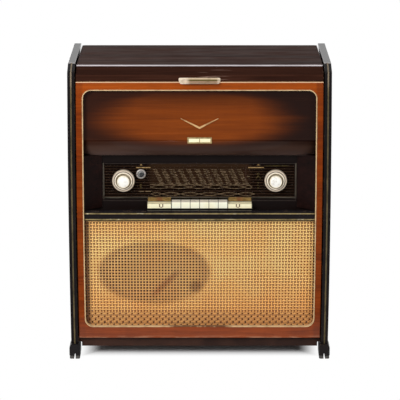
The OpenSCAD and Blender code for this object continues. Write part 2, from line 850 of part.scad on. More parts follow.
// The baffle is bowed like the cloth in front and flat behind, where the loudspeaker is screwed on
module baffle_board() color(plywood) difference() {
    along_x(-inner_x, inner_x) intersection() {
        translate([front_y - 20, floor_top]) square([180, rail_z - seat_gap - floor_top]);
        bow_disc(baffle_a);
        translate([bow_cy, bow_z]) rotate(180 + speaker_tilt)
            translate([seat_reach, -far / 2]) square([baffle_t + 10, far]);
    }
    at_speaker() translate([0, 0, -baffle_t - 10]) linear_extrude(baffle_t + 20) oval(0);
}

module grille_cloth() color([0.80, 0.65, 0.42])
    along_x(-cloth_x, cloth_x) bow_band(panel_a, panel_a + cloth_t, cloth_z, rail_z - seat_gap);

// Funnel from the oval, grown by d, to a round end of radius r
module funnel(d, r, depth) hull() {
    linear_extrude(0.1) oval(d, $fn = 32);
    translate([0, 0, depth - 0.1]) cylinder(h = 0.1, r = r, $fn = 32);
}

module speaker_basket() color([0.20, 0.20, 0.20]) at_speaker() {
    linear_extrude(flange_t) difference() {
        oval(flange_w);
        oval(0);
    }
    translate([0, 0, flange_t]) difference() {
        funnel(2, throat_r, throat_d - flange_t);
        translate([0, 0, -basket_t]) funnel(2 - basket_t, throat_r - basket_t, throat_d - flange_t);
        for (i = [0:5]) rotate(30 + i * 60)
            translate([throat_r / 2, -rib_gap / 2, 10]) cube([oval_a, rib_gap, throat_d - 24]);
    }
    translate([0, 0, throat_d]) cylinder(h = 4, r = throat_r);
    translate([0, 0, throat_d + 4]) cylinder(h = speaker_d - throat_d - 4, r = magnet_r);
}

// The cone, with the dust cap over its coil; its edge is glued behind the opening
module speaker_cone() color([0.14, 0.12, 0.11]) at_speaker() {
    linear_extrude(cone_t) difference() {
        oval(-seat_gap);
        oval(-10);
    }
    difference() {
        funnel(-9, coil_r + 2, throat_d - 12);
        translate([0, 0, -2]) funnel(-9, coil_r + 2, throat_d - 12);
    }
    translate([0, 0, throat_d - 14]) cylinder(h = 14 - basket_t - 0.4, r = coil_r);
    intersection() {
        translate([0, 0, throat_d - 4]) sphere(26);
        translate([0, 0, throat_d - 32]) cylinder(h = 20, r = coil_r);
    }
}

// ---- Record changer ----

// Deck plate with the platter bearing, the arm's turret, the rest of the arm and the motor under it
module changer_plate() color([0.78, 0.74, 0.64]) difference() {
    union() {
        translate([0, deck_y, deck_z]) {
            linear_extrude(deck_t) rounded_rect(deck_w, deck_d, deck_r);
            linear_extrude(deck_t + 1.5) difference() {
                rounded_rect(deck_w, deck_d, deck_r);
                rounded_rect(deck_w - 12, deck_d - 12, deck_r - 6);
            }
        }
        translate([spindle_x, deck_y, deck_z]) cylinder(h = platter_z - deck_z + 6.7, r = bearing_r);
        translate([spindle_x - 40, deck_y + 45, deck_z - 58]) cylinder(h = 58, r = 36);
        translate([arm_x, arm_y, deck_z]) {
            cylinder(h = deck_t + turret_h, r = turret_r);
            translate([0, 0, -16]) cylinder(h = 16, r = 9);
            translate([0, -150, 0]) cylinder(h = arm_z - tube_arm_r - 6 - deck_z, r = 4);
        }
        translate([arm_x, arm_y - 150, arm_z - tube_arm_r - 6]) linear_extrude(5.7) rounded_rect(14, 10, 2);
        translate([lever_x, lever_y, deck_z - 10]) cylinder(h = 10, r = 6);
    }
    translate([spindle_x, deck_y, deck_z - 1]) cylinder(h = 30, r = spindle_foot_r);
    translate([arm_x, arm_y, deck_z - 20]) cylinder(h = 50, r = yoke_shaft_r + run_fit);
    translate([lever_x, lever_y, deck_z - 12]) cylinder(h = 30, r = lever_shaft_r + run_fit);
}

module platter() color([0.30, 0.28, 0.27]) translate([spindle_x, deck_y, platter_z]) rotate_extrude()
    polygon([
        [bearing_r + run_fit, 0], [26, 0], [30, platter_h - 4], [platter_r - 6, platter_h - 4],
        [platter_r - 5, -3], [platter_r - 1, -3], [platter_r, -2], [platter_r, platter_h - 1.5],
        [platter_r - 1.5, platter_h], [spindle_foot_r + move_gap, platter_h],
        [spindle_foot_r + move_gap, platter_h - 3], [bearing_r + run_fit, platter_h - 3]]);

// Rubber mat with three raised rings that carry the record
module platter_mat() color([0.16, 0.13, 0.12]) translate([spindle_x, deck_y, mat_z]) rotate_extrude() {
    translate([bearing_r, 0]) square([platter_r - 4 - bearing_r, mat_h - 1]);
    for (r = [bearing_r + 8, platter_r * 0.6, platter_r - 22]) translate([r, 0]) square([14, mat_h]);
}

// The spindle stands in the bearing, and a record rests level with its shoulder
module spindle() color(steel) translate([spindle_x, deck_y, 0]) {
    translate([0, 0, deck_z]) cylinder(h = record_z - deck_z, r = spindle_foot_r);
    translate([0, 0, record_z]) cylinder(h = spindle_h - 4, r = spindle_r);
    translate([0, 0, record_z + spindle_h - 4]) cylinder(h = 4, r1 = spindle_r, r2 = 1);
}

module arm_yoke() color([0.75, 0.70, 0.62]) translate([arm_x, arm_y, 0]) difference() {
    union() {
        translate([0, 0, deck_z - 14]) cylinder(h = yoke_z + move_gap - deck_z + 15, r = yoke_shaft_r);
        translate([0, 0, yoke_z + move_gap]) cylinder(h = yoke_h, r = yoke_r);
        both_sides() {
            box(hub_w / 2 + 0.4, hub_w / 2 + 0.4 + cheek_t, -7, 7, yoke_z + 2, arm_z);
            along_x(hub_w / 2 + 0.4, hub_w / 2 + 0.4 + cheek_t) translate([0, arm_z]) circle(7);
        }
    }
    along_x(-yoke_r, yoke_r) translate([0, arm_z]) circle(lift_pin_r + run_fit);
}

// The arm on its lift pin: hub, tube, counterweight, and a head with its stylus
module tonearm() color(ivory) translate([arm_x, arm_y, arm_z]) {
    along_x(-hub_w / 2, hub_w / 2) circle(7);
    along_x(-hub_w / 2 - 0.4 - cheek_t, hub_w / 2 + 0.4 + cheek_t) circle(lift_pin_r);
    along_y(-arm_l + 24, 30) circle(tube_arm_r);
    along_y(14, 38) circle(12);
    along_x(-11, 11) polygon([
        [-arm_l + 26, 6], [-arm_l + 26, -6], [-arm_l + 18, -14], [-arm_l - 9, -15],
        [-arm_l - 12, -12], [-arm_l - 12, 1], [-arm_l - 8, 5]]);
    along_x(11, 24) translate([-arm_l - 8, -6]) square([6, 2.5]);
    translate([0, -arm_l, -21.5]) cylinder(h = 7, r1 = 0.4, r2 = 2);
}

module control_lever() color(ivory) translate([lever_x, lever_y, deck_z]) {
    translate([0, 0, -10]) cylinder(h = deck_t + 11, r = lever_shaft_r);
    translate([0, 0, deck_t + move_gap]) cylinder(h = 7, r = lever_r);
    translate([0, 0, deck_t + move_gap + 5]) linear_extrude(5) {
        translate([0, -4]) square([26, 8]);
        translate([26, 0]) circle(4);
        circle(7);
    }
}

// ---- Lid ----

module lid_outline(inset, bottom, rear)
    nose_outline(inset, lid_a, lid_top, lid_slope, lid_nose_r, lid_ridge_r, bottom, rear);

module lid() color(lid_brown) difference() {
    along_x(-lid_x, lid_x) lid_outline(0, lid_z, rear_y);
    both_sides() translate([0, 0, lid_z - 1]) linear_extrude(lid_h + 2)
        corner_waste([lid_x - lid_corner_r, rear_y - lid_corner_r], lid_corner_r, [1, 0], [0, 1]);
    along_x(-lid_x + skirt_t, lid_x - skirt_t) lid_outline(lid_t, lid_z - 1, rear_y - skirt_t);
    along_x(stay_x - stay_clear - stay_pin_l - 0.5, stay_x) translate(rivet) circle(stay_pin_r + run_fit);
}

// Face of the pull in X-Z, well rounded below and nearly square above
module handle_outline() difference() {
    translate([-handle_w / 2, handle_z]) square([handle_w, handle_h]);
    both_sides() {
        corner_waste([handle_w / 2 - handle_low_r, handle_z + handle_low_r], handle_low_r, [1, 0], [0, -1]);
        corner_waste([handle_w / 2 - handle_top_r, handle_z + handle_h - handle_top_r], handle_top_r,
            [1, 0], [0, 1]);
    }
}

// A pull with a groove along its face and a lip to lift it by
module lid_handle() color(brass) difference() {
    intersection() {
        along_x(-handle_w, handle_w) {
            bow_band(lid_a - handle_t, lid_a - seat_gap, handle_z - 1, handle_z + handle_h + 1);
            bow_band(lid_a - lip_out, lid_a - seat_gap, handle_z - 1, handle_z + lip_t);
        }
        through_front() handle_outline();
    }
    intersection() {
        along_x(-handle_w, handle_w)
            bow_band(lid_a - handle_t - 1, lid_a - handle_t + scoop_d, handle_z, handle_z + handle_h);
        through_front() translate([0, handle_z + lip_t + 2.2 + scoop_r])
            rounded_rect(handle_w - 18, 2 * scoop_r, scoop_r);
    }
}

// One half of the two hinges: leaf and knuckles, with up = 1 on the lid and -1 on the case
module hinge_half(up, knuckles) for (x = [-hinge_x, hinge_x]) translate([x, 0, 0]) {
    along_x(-hinge_l / 2, hinge_l / 2) translate([rear_y, lid_z + (up > 0 ? leaf_start : -leaf_h)])
        square([leaf_t, leaf_h - leaf_start]);
    for (k = knuckles) along_x(k - knuckle_l / 2 + 0.2, k + knuckle_l / 2 - 0.2) {
        translate([hinge_y, lid_z]) circle(hinge_r);
        translate([rear_y, lid_z + (up > 0 ? 0 : -leaf_start - 1)]) square([leaf_t, leaf_start + 1]);
    }
}

module case_hinges() color(brass) {
    hinge_half(-1, [-knuckle_l, knuckle_l]);
    for (x = [-hinge_x, hinge_x]) along_x(x - hinge_l / 2, x + hinge_l / 2)
        translate([hinge_y, lid_z]) circle(hinge_pin_r);
}

module lid_hinges() color(brass) difference() {
    hinge_half(1, [0]);
    along_x(-cab_w / 2, cab_w / 2) translate([hinge_y, lid_z]) circle(hinge_pin_r + run_fit);
}

// The arm hangs from its rivet in the lid, and its slot slides over the stud
module lid_stay() color(brass) {
    along_x(stay_x, stay_x + stay_t) translate(rivet) rotate(stay_angle) difference() {
        union() {
            translate([0, -stay_w / 2]) square([stay_far + 2, stay_w]);
            circle(stay_w / 2);
            translate([stay_far + 2, 0]) circle(stay_w / 2);
        }
        translate([stay_near, -stud_r - move_gap]) square([stay_far - stay_near, 2 * (stud_r + move_gap)]);
        for (s = [stay_near, stay_far]) translate([s, 0]) circle(stud_r + move_gap);
    }
    along_x(stay_x - stay_clear - stay_pin_l, stay_x + stay_t + 1) translate(rivet) circle(stay_pin_r);
}

module stay_stud() color(steel) {
    along_x(-side_x, stay_x + stay_t + move_gap) translate(stud) circle(stud_r);
    along_x(-side_x, -side_x + 2) translate(stud) circle(9);
    along_x(stay_x + stay_t + move_gap, stay_x + stay_t + 1.8) translate(stud) circle(stud_head_r);
}

side_panel_left();
side_panel_right();
edge_strips();
feet();
glide_pads();
bottom_board();
rear_rail();
back_panel();
back_screws();
front_frame();
aperture_bead();
top_strip();
upper_panel();
chevron_trim();
plate_frame();
plate_inlays();
divider_rail();
rail_strips();
dial_surround();
recess_cheeks();
dial_backplate();
dial_glass();
dial_pointer();
eye_bezel();
eye_tube();
key_axle();
key_1();
key_2();
key_3();
key_4();
key_5();
key_6();
tone_key_left();
tone_key_right();
volume_knob();
balance_ring();
tuning_knob();
tuning_ring();
radio_chassis();
valves();
transformers();
chassis_shelf();
baffle_board();
grille_cloth();
speaker_basket();
speaker_cone();
motor_board();
changer_plate();
platter();
platter_mat();
spindle();
arm_yoke();
tonearm();
control_lever();
lid();
lid_handle();
case_hinges();
lid_hinges();
lid_stay();
stay_stud();
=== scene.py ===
# Looks of the gramophone cabinet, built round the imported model. Metres; the front faces -Y.
import math
import random

import bpy
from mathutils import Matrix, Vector


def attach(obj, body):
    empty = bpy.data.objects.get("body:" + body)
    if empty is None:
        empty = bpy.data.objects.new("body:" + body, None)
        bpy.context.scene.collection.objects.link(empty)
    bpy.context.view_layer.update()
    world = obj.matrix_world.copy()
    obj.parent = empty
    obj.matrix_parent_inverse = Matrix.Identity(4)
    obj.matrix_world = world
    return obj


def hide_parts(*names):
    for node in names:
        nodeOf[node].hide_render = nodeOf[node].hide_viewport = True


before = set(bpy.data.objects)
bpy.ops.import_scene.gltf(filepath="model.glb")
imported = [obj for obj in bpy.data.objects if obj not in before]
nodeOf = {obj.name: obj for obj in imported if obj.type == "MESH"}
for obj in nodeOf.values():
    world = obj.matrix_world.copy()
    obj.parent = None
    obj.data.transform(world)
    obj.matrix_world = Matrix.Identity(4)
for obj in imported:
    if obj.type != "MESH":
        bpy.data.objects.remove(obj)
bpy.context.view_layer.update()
print("frame loaded with", len(nodeOf), "nodes")


# Camera

view = {
    "place": (0.0011, -5.672, 1.735),
    "tilt": 76.6,      # degrees from straight down
    "roll": 0.0,
    "lens": 201.8,     # on a 36 mm sensor
}


def setCamera():
    camera = bpy.data.objects.new("camera", bpy.data.cameras.new("camera"))
    bpy.context.scene.collection.objects.link(camera)
    camera.location = view["place"]
    camera.rotation_euler = (math.radians(view["tilt"]), 0, math.radians(view["roll"]))
    camera.data.sensor_width = 36
    camera.data.lens = view["lens"]
    camera.data.clip_end = 60
    bpy.context.scene.camera = camera


# Small helpers for shader nodes

def tone(red, green, blue):  # a colour as a screen shows it, 0 to 255
    def linear(c):
        c /= 255
        return c / 12.92 if c <= 0.04045 else ((c + 0.055) / 1.055) ** 2.4
    return (linear(red), linear(green), linear(blue), 1)


def startFinish(name):
    finish = bpy.data.materials.new(name)
    finish.use_nodes = True
    tree = finish.node_tree
    return finish, tree, tree.nodes["Principled BSDF"]


def add(tree, kind, feeds=None, **settings):
    made = tree.nodes.new("ShaderNode" + kind)
    for key, value in settings.items():
        setattr(made, key, value)
    for socket, value in (feeds or {}).items():
        if isinstance(value, bpy.types.NodeSocket):
            tree.links.new(value, made.inputs[socket])
        else:
            made.inputs[socket].default_value = value
    return made


def where(tree, scale=(1, 1, 1), turn=(0, 0, 0)):
    spot = add(tree, "TexCoord").outputs["Object"]
    return add(tree, "Mapping", {"Vector": spot, "Scale": scale, "Rotation": turn}).outputs[0]


def axisOf(tree, axis, spot=None):
    spot = spot or add(tree, "TexCoord").outputs["Object"]
    return add(tree, "SeparateXYZ", {"Vector": spot}).outputs[axis]


def noise(tree, spot, scale, detail=3, rough=0.5, warp=0.0):
    return add(tree, "TexNoise", {"Vector": spot, "Scale": scale, "Detail": detail,
                                  "Roughness": rough, "Distortion": warp}).outputs["Fac"]


def calc(tree, how, first, second=0.0, clamp=False):
    return add(tree, "Math", {0: first, 1: second}, operation=how, use_clamp=clamp).outputs[0]


def plus(tree, first, second, clamp=False):
    return calc(tree, "ADD", first, second, clamp)


def minus(tree, first, second):
    return calc(tree, "SUBTRACT", first, second)


def times(tree, first, second):
    return calc(tree, "MULTIPLY", first, second)


def larger(tree, first, second):
    return calc(tree, "MAXIMUM", first, second)


def plain(tree, value):  # without its sign
    return calc(tree, "ABSOLUTE", value)


def setShine(shader, level):
    shader.inputs["Specular IOR Level"].default_value = level


def spread(tree, value, low, high, toLow=0.0, toHigh=1.0, soft=True):
    return add(tree, "MapRange", {"Value": value, "From Min": low, "From Max": high,
                                  "To Min": toLow, "To Max": toHigh},
               interpolation_type="SMOOTHSTEP" if soft else "LINEAR").outputs["Result"]


def ramp(tree, value, *stops):
    made = add(tree, "ValToRGB", {"Fac": value})
    points = made.color_ramp.elements
    while len(points) < len(stops):
        points.new(0.5)
    for point, (at, colour) in zip(points, stops):
        point.position = at
        point.color = colour
    return made.outputs["Color"]


def blend(tree, amount, first, second):
    made = add(tree, "Mix", data_type="RGBA")
    for socket, value in ((0, amount), (6, first), (7, second)):
        if isinstance(value, bpy.types.NodeSocket):
            tree.links.new(value, made.inputs[socket])
        else:
            made.inputs[socket].default_value = value
    return made.outputs[2]


def relief(tree, shader, height, depth, strength=1.0, under=None):
    feeds = {"Height": height, "Distance": depth, "Strength": strength}
    if under is not None:
        feeds["Normal"] = under
    tree.links.new(add(tree, "Bump", feeds).outputs[0], shader.inputs["Normal"])


def feed(tree, value, shader, socket):
    if isinstance(value, bpy.types.NodeSocket):
        tree.links.new(value, shader.inputs[socket])
    else:
        shader.inputs[socket].default_value = value


def edgeWear(tree, reach, patches, most=1.0):  # 1 where an edge is rubbed through
    rounded = add(tree, "Bevel", {"Radius": reach}, samples=4).outputs[0]
    flat = add(tree, "NewGeometry").outputs["Normal"]
    bend = add(tree, "VectorMath", {0: rounded, 1: flat}, operation="DOT_PRODUCT").outputs["Value"]
    edge = spread(tree, bend, 0.995, 0.9)
    worn = spread(tree, noise(tree, where(tree), patches, 5, 0.6), 0.52, 0.6)
    return times(tree, times(tree, edge, worn), most)


# Finishes

lacquer = {
    "black": tone(20, 17, 18),
    "brownInWear": tone(120, 96, 72),
    "dust": tone(70, 62, 58),
    "ridgeHighlight": tone(226, 217, 220),     # painted highlight along the lid's ridge
    "sideInner": 0.3120, "sideTop": 0.7660, "sideRidge": -0.1204,
}


def blackLacquer(name, colour=None, gloss=0.07, wear=0.9, edgeHighlights=False):
    finish, tree, shader = startFinish(name)
    haze = noise(tree, where(tree), 9, 4)
    body = blend(tree, spread(tree, haze, 0.35, 0.75), colour or lacquer["black"], tone(30, 25, 25))
    specks = spread(tree, noise(tree, where(tree), 260, 2, 0.4), 0.69, 0.74)
    body = blend(tree, times(tree, specks, 0.35), body, lacquer["dust"])
    worn = edgeWear(tree, 0.0007, 55, wear)
    body = blend(tree, worn, body, lacquer["brownInWear"])
    if edgeHighlights:  # painted highlights: pale lines along the side panels' inner top edges and front top edge
        across, back, high = (axisOf(tree, k) for k in range(3))
        upper = spread(tree, high, lacquer["sideTop"] - 0.002, lacquer["sideTop"] - 0.001)
        inner = spread(tree, plain(tree, across), lacquer["sideInner"] + 0.0018,
                       lacquer["sideInner"] + 0.0008)
        brow = spread(tree, plain(tree, minus(tree, back, lacquer["sideRidge"])), 0.0028, 0.0016)
        body = blend(tree, times(tree, upper, inner), body, tone(122, 116, 118))
        body = blend(tree, times(tree, upper, brow), body, tone(196, 188, 186))
    feed(tree, body, shader, "Base Color")
    streaks = noise(tree, where(tree, (1, 10, 3)), 30, 3)
    feed(tree, spread(tree, streaks, 0.3, 0.75, gloss - 0.03, gloss + 0.05), shader, "Roughness")
    setShine(shader, 0.06)
    eased = add(tree, "Bevel", {"Radius": 0.0012}, samples=6).outputs[0]
    relief(tree, shader, noise(tree, where(tree), 45, 3), 0.0001, 0.25, eased)
    return finish


wood = {
    "frameLight": tone(168, 74, 10), "frameMid": tone(141, 59, 8), "frameDark": tone(98, 37, 7),
    "panelLight": tone(134, 64, 19), "panelMid": tone(119, 55, 16), "panelDark": tone(98, 44, 13),
    "lidLight": tone(68, 40, 30), "lidMid": tone(53, 30, 22), "lidDark": tone(36, 20, 16),
    "deckLight": tone(150, 92, 52), "deckMid": tone(120, 68, 36), "deckDark": tone(82, 42, 22),
}


def grainOf(tree, tones, long=5.0, across=150.0, ripple=0.0):  # the grain runs along X
    broad = noise(tree, where(tree, (1.2, 14, 14)), 1.5, 3, 0.5, 0.6)
    fine = noise(tree, where(tree, (long, across, across)), 1, 5, 0.65, 0.8)
    mixed = plus(tree, times(tree, broad, 0.45), times(tree, fine, 0.55))
    if ripple:
        wave = noise(tree, where(tree, (60, 9, 9)), 1, 2, 0.5, 0.5)
        mixed = plus(tree, mixed, times(tree, minus(tree, wave, 0.5), ripple))
    colour = ramp(tree, mixed, (0.34, tones[2]), (0.5, tones[1]), (0.66, tones[0]))
    pores = noise(tree, where(tree, (26, 900, 900)), 1, 2, 0.5)
    return blend(tree, spread(tree, pores, 0.62, 0.78, 0, 0.45), colour, tones[2]), fine, pores


def frameVeneer():
    finish, tree, shader = startFinish("mahoganyVeneer")
    tones = [wood["frameLight"], wood["frameMid"], wood["frameDark"]]
    colour, fine, pores = grainOf(tree, tones, 7, 110, 0.1)
    high = axisOf(tree, 2)
    top = spread(tree, high, 0.69, 0.712)
    colour = blend(tree, times(tree, top, 0.3), colour, tone(186, 92, 34))
    # painted shade: darker along both stiles, beside the side panels, more at the right
    across = axisOf(tree, 0)
    beside = plus(tree, spread(tree, across, 0.288, 0.296, 0, 0.5),
                  spread(tree, across, -0.288, -0.296, 0, 0.35))
    colour = blend(tree, beside, colour, tone(94, 38, 16))
    # painted reflection of the floor: paler and greyer towards the bottom rail
    haze = spread(tree, high, 0.13, 0.06, 0, 0.45)
    colour = blend(tree, haze, colour, tone(118, 72, 60))
    low = spread(tree, high, 0.062, 0.054)  # the bottom edge is rubbed
    rubbed = spread(tree, noise(tree, where(tree, (6, 40, 40)), 4, 4), 0.4, 0.65)
    colour = blend(tree, times(tree, times(tree, low, rubbed), 0.6), colour,
                   tone(190, 140, 110))
    feed(tree, colour, shader, "Base Color")
    feed(tree, spread(tree, fine, 0.3, 0.7, 0.2, 0.34), shader, "Roughness")
    setShine(shader, 0.06)
    relief(tree, shader, pores, 0.0003, 0.2)
    return finish


sunburst = {
    "stain": tone(24, 12, 10),
    "middle": (-0.010, 0.622),                    # X and Z of the clear wood's middle
    "left": 0.226, "right": 0.217, "up": 0.068, "down": 0.054,   # how far it reaches each way
    "clear": 0.7, "full": 1.35, "most": (0.74, 0.88),     # in those reaches; left and right
    "turned": (tone(60, 40, 33), tone(78, 57, 49)),     # painted reflection of the floor on the rolled edge: middle, sides
    "lip": (tone(68, 50, 44), tone(98, 78, 72)),        # and on its lowest part
}


def panelVeneer():
    finish, tree, shader = startFinish("walnutSunburst")
    tones = [wood["panelLight"], wood["panelMid"], wood["panelDark"]]
    colour, fine, pores = grainOf(tree, tones, 4, 120, 0.05)
    across, high = axisOf(tree, 0), axisOf(tree, 2)
    waver = spread(tree, noise(tree, where(tree, (1, 9, 9)), 3, 3), 0.3, 0.7, -0.06, 0.06)
    aside = minus(tree, across, sunburst["middle"][0])
    above = minus(tree, high, sunburst["middle"][1])
    wide = larger(tree, calc(tree, "DIVIDE", aside, sunburst["right"]),
                calc(tree, "DIVIDE", aside, -sunburst["left"]))
    tall = larger(tree, calc(tree, "DIVIDE", above, sunburst["up"]),
                calc(tree, "DIVIDE", above, -sunburst["down"]))
    out = calc(tree, "SQRT", plus(tree, times(tree, wide, wide), times(tree, tall, tall)))
    stained = spread(tree, plus(tree, out, waver), sunburst["clear"], sunburst["full"])
    stained = times(tree, stained, spread(tree, across, -0.1, 0.1, *sunburst["most"]))
    # painted shadow of the frame's top rail: darker towards the top, over the sunburst stain
    stained = larger(tree, stained, spread(tree, high, 0.65, 0.708, 0, 0.72, False))
    stained = minus(tree, 1, calc(tree, "POWER", minus(tree, 1, stained), 1.7))
    colour = blend(tree, stained, colour, sunburst["stain"])
    # painted reflection of the floor across the rolled lower edge, paler towards the sides
    under = spread(tree, plus(tree, high, times(tree, waver, 0.01)), 0.574, 0.554)
    under = larger(tree, under, spread(tree, high, 0.5752, 0.5722, 0, 0.3))
    beside = spread(tree, plain(tree, across), 0.1, 0.24)
    turned = blend(tree, spread(tree, high, 0.556, 0.534), blend(tree, beside, *sunburst["turned"]),
                   blend(tree, beside, *sunburst["lip"]))
    feed(tree, blend(tree, under, colour, turned), shader, "Base Color")
    feed(tree, spread(tree, fine, 0.3, 0.7, 0.18, 0.28), shader, "Roughness")
    setShine(shader, 0.06)
    shader.inputs["Coat Weight"].default_value = 0.03
    shader.inputs["Coat Roughness"].default_value = 0.12
    relief(tree, shader, pores, 0.0002, 0.15)
    return finish


def lidVeneer():
    finish, tree, shader = startFinish("darkMahogany")
    tones = [wood["lidLight"], wood["lidMid"], wood["lidDark"]]
    colour, fine, pores = grainOf(tree, tones, 4, 110)
    scratches = spread(tree, noise(tree, where(tree, (9, 420, 420), (0, 0.12, 0.3)), 1, 2), 0.74, 0.78)
    worn = edgeWear(tree, 0.0008, 40, 0.7)
    colour = blend(tree, times(tree, scratches, 0.25), colour, tone(150, 120, 110))
    across, high = axisOf(tree, 0), axisOf(tree, 2)
    place = times(tree, spread(tree, plain(tree, minus(tree, across, 0.035)),
                                          0.05, 0.02), spread(tree, high, 0.7605, 0.7585))
    place = times(tree, place, spread(tree, axisOf(tree, 1), -0.119, -0.123))  # the slope alone
    scores = spread(tree, noise(tree, where(tree, (9, 300, 300), (0, 0.5, 0.1)), 1, 3), 0.6, 0.66)
    colour = blend(tree, times(tree, times(tree, place, scores), 0.5), colour,
                   tone(170, 140, 125))
    colour = blend(tree, worn, colour, tone(140, 110, 90))
    # painted highlight: a pale line along the lid's ridge
    ridge = times(tree, spread(tree, high, 0.7583, 0.7591), spread(tree, axisOf(tree, 1), -0.1188, -0.1196))
    uneven = spread(tree, noise(tree, where(tree, (14, 60, 60)), 1, 3), 0.3, 0.7, 0.75, 1)
    colour = blend(tree, times(tree, ridge, uneven), colour, lacquer["ridgeHighlight"])
    feed(tree, colour, shader, "Base Color")
    smear = noise(tree, where(tree, (3, 12, 12)), 4, 4)
    feed(tree, spread(tree, smear, 0.3, 0.75, 0.36, 0.5), shader, "Roughness")
    setShine(shader, 0.004)
    relief(tree, shader, fine, 0.00001, 0.04)
    return finish


def plainWood(name, tones, gloss=0.5, shine=0.05):
    finish, tree, shader = startFinish(name)
    colour, fine, pores = grainOf(tree, tones, 5, 120)
    feed(tree, colour, shader, "Base Color")
    feed(tree, spread(tree, fine, 0.3, 0.7, gloss - 0.08, gloss + 0.12), shader, "Roughness")
    setShine(shader, shine)
    relief(tree, shader, pores, 0.0004, 0.3)
    return finish


def paintedBoard(name, colour, other, gloss=0.6, shine=0.1):
    finish, tree, shader = startFinish(name)
    patch = noise(tree, where(tree), 11, 5, 0.6)
    fibre = noise(tree, where(tree, (160, 160, 160)), 1, 3)
    mixed = blend(tree, spread(tree, patch, 0.3, 0.7), colour, other)
    feed(tree, blend(tree, spread(tree, fibre, 0.45, 0.75, 0, 0.3), mixed, other), shader, "Base Color")
    feed(tree, spread(tree, patch, 0.3, 0.7, gloss - 0.1, gloss + 0.15), shader, "Roughness")
    setShine(shader, shine)
    relief(tree, shader, fibre, 0.0005, 0.4)
    return finish


def baffleStainAndShade():  # seen through the cloth; painted shade darkens it along the sides, the top and the bottom
    finish, tree, shader = startFinish("baffleStainAndShade")
    patch = noise(tree, where(tree), 11, 5, 0.6)
    colour = blend(tree, spread(tree, patch, 0.3, 0.7), tone(176, 104, 36), tone(148, 82, 24))
    across, high = axisOf(tree, 0), axisOf(tree, 2)
    # painted shade round the edges of the opening
    edge = larger(tree, spread(tree, across, -0.27, -0.28), spread(tree, across, 0.283, 0.29))
    edge = larger(tree, edge, larger(tree, spread(tree, high, 0.128, 0.112),
                                            spread(tree, high, 0.360, 0.366)))
    feed(tree, blend(tree, times(tree, edge, 0.9), colour, tone(52, 24, 6)), shader, "Base Color")
    feed(tree, spread(tree, patch, 0.3, 0.7, 0.7, 0.95), shader, "Roughness")
    setShine(shader, 0.05)
    relief(tree, shader, noise(tree, where(tree, (160, 160, 160)), 1, 3), 0.0005, 0.4)
    return finish


def metal(name, colour, dull, polish=0.25, metallic=1.0, patches=30, spots=0.5, paintedLightAbove=None,
          rubbed=None, chipped=False, shine=0.5):
    finish, tree, shader = startFinish(name)
    tarnish = spread(tree, noise(tree, where(tree), patches, 5, 0.6), 0.42, 0.7, 0, spots)
    body = blend(tree, tarnish, colour, dull)
    # painted light: paler above the given height
    if paintedLightAbove:
        body = blend(tree, spread(tree, axisOf(tree, 2), *paintedLightAbove), body, tone(132, 118, 98))
    if rubbed:  # worn through along the middle of its lowest stretch
        middle = spread(tree, plain(tree, axisOf(tree, 0)), rubbed[0], rubbed[0] - 0.02)
        lowest = spread(tree, axisOf(tree, 2), rubbed[1] + 0.003, rubbed[1])
        chips = spread(tree, noise(tree, where(tree), 130, 4, 0.6), 0.36, 0.5, 0.4, 1)
        gone = times(tree, times(tree, middle, lowest), chips)
        body = blend(tree, gone, body, tone(104, 66, 44))
    if chipped:  # the bright ground shows in places, mostly at the left
        flakes = spread(tree, noise(tree, where(tree, (30, 90, 90)), 1, 4, 0.6), 0.57, 0.63)
        often = spread(tree, axisOf(tree, 0), 0.1, -0.27, 0.35, 1)
        body = blend(tree, times(tree, flakes, often), body, tone(226, 214, 182))
    feed(tree, body, shader, "Base Color")
    brushed = noise(tree, where(tree, (8, 300, 300)), 1, 3)
    feed(tree, spread(tree, brushed, 0.3, 0.7, polish - 0.06, polish + 0.12), shader, "Roughness")
    shader.inputs["Metallic"].default_value = metallic
    setShine(shader, shine)
    relief(tree, shader, brushed, 0.0001, 0.2)
    return finish


def moulded(name, colour, other, gloss=0.3, patches=18):
    finish, tree, shader = startFinish(name)
    patch = noise(tree, where(tree), patches, 4, 0.55)
    feed(tree, blend(tree, spread(tree, patch, 0.35, 0.7), colour, other), shader, "Base Color")
    feed(tree, spread(tree, patch, 0.3, 0.7, gloss - 0.06, gloss + 0.1), shader, "Roughness")
    relief(tree, shader, noise(tree, where(tree), 700, 2), 0.00005, 0.3)
    return finish


# tones by distance from the axle
def turnedKnob(name, stops, centre=(0.1932, 0.4646), gloss=0.24, metallic=0.1):
    finish, tree, shader = startFinish(name)
    across = minus(tree, plain(tree, axisOf(tree, 0)), centre[0])
    high = minus(tree, axisOf(tree, 2), centre[1])
    out = calc(tree, "SQRT", plus(tree, calc(tree, "POWER", across, 2.0), calc(tree, "POWER", high, 2.0)))
    colour = ramp(tree, times(tree, out, 1 / 0.03), *[(at / 30, c) for at, c in stops])
    grimeAndShade = spread(tree, noise(tree, where(tree), 140, 4, 0.6), 0.5, 0.72, 0, 0.4)
    feed(tree, blend(tree, grimeAndShade, colour, tone(150, 132, 108)), shader, "Base Color")
    turned = calc(tree, "SINE", times(tree, out, 9000.0))
    feed(tree, spread(tree, turned, -1, 1, gloss - 0.06, gloss + 0.08), shader, "Roughness")
    shader.inputs["Metallic"].default_value = metallic
    relief(tree, shader, turned, 0.00004, 0.5)
    return finish


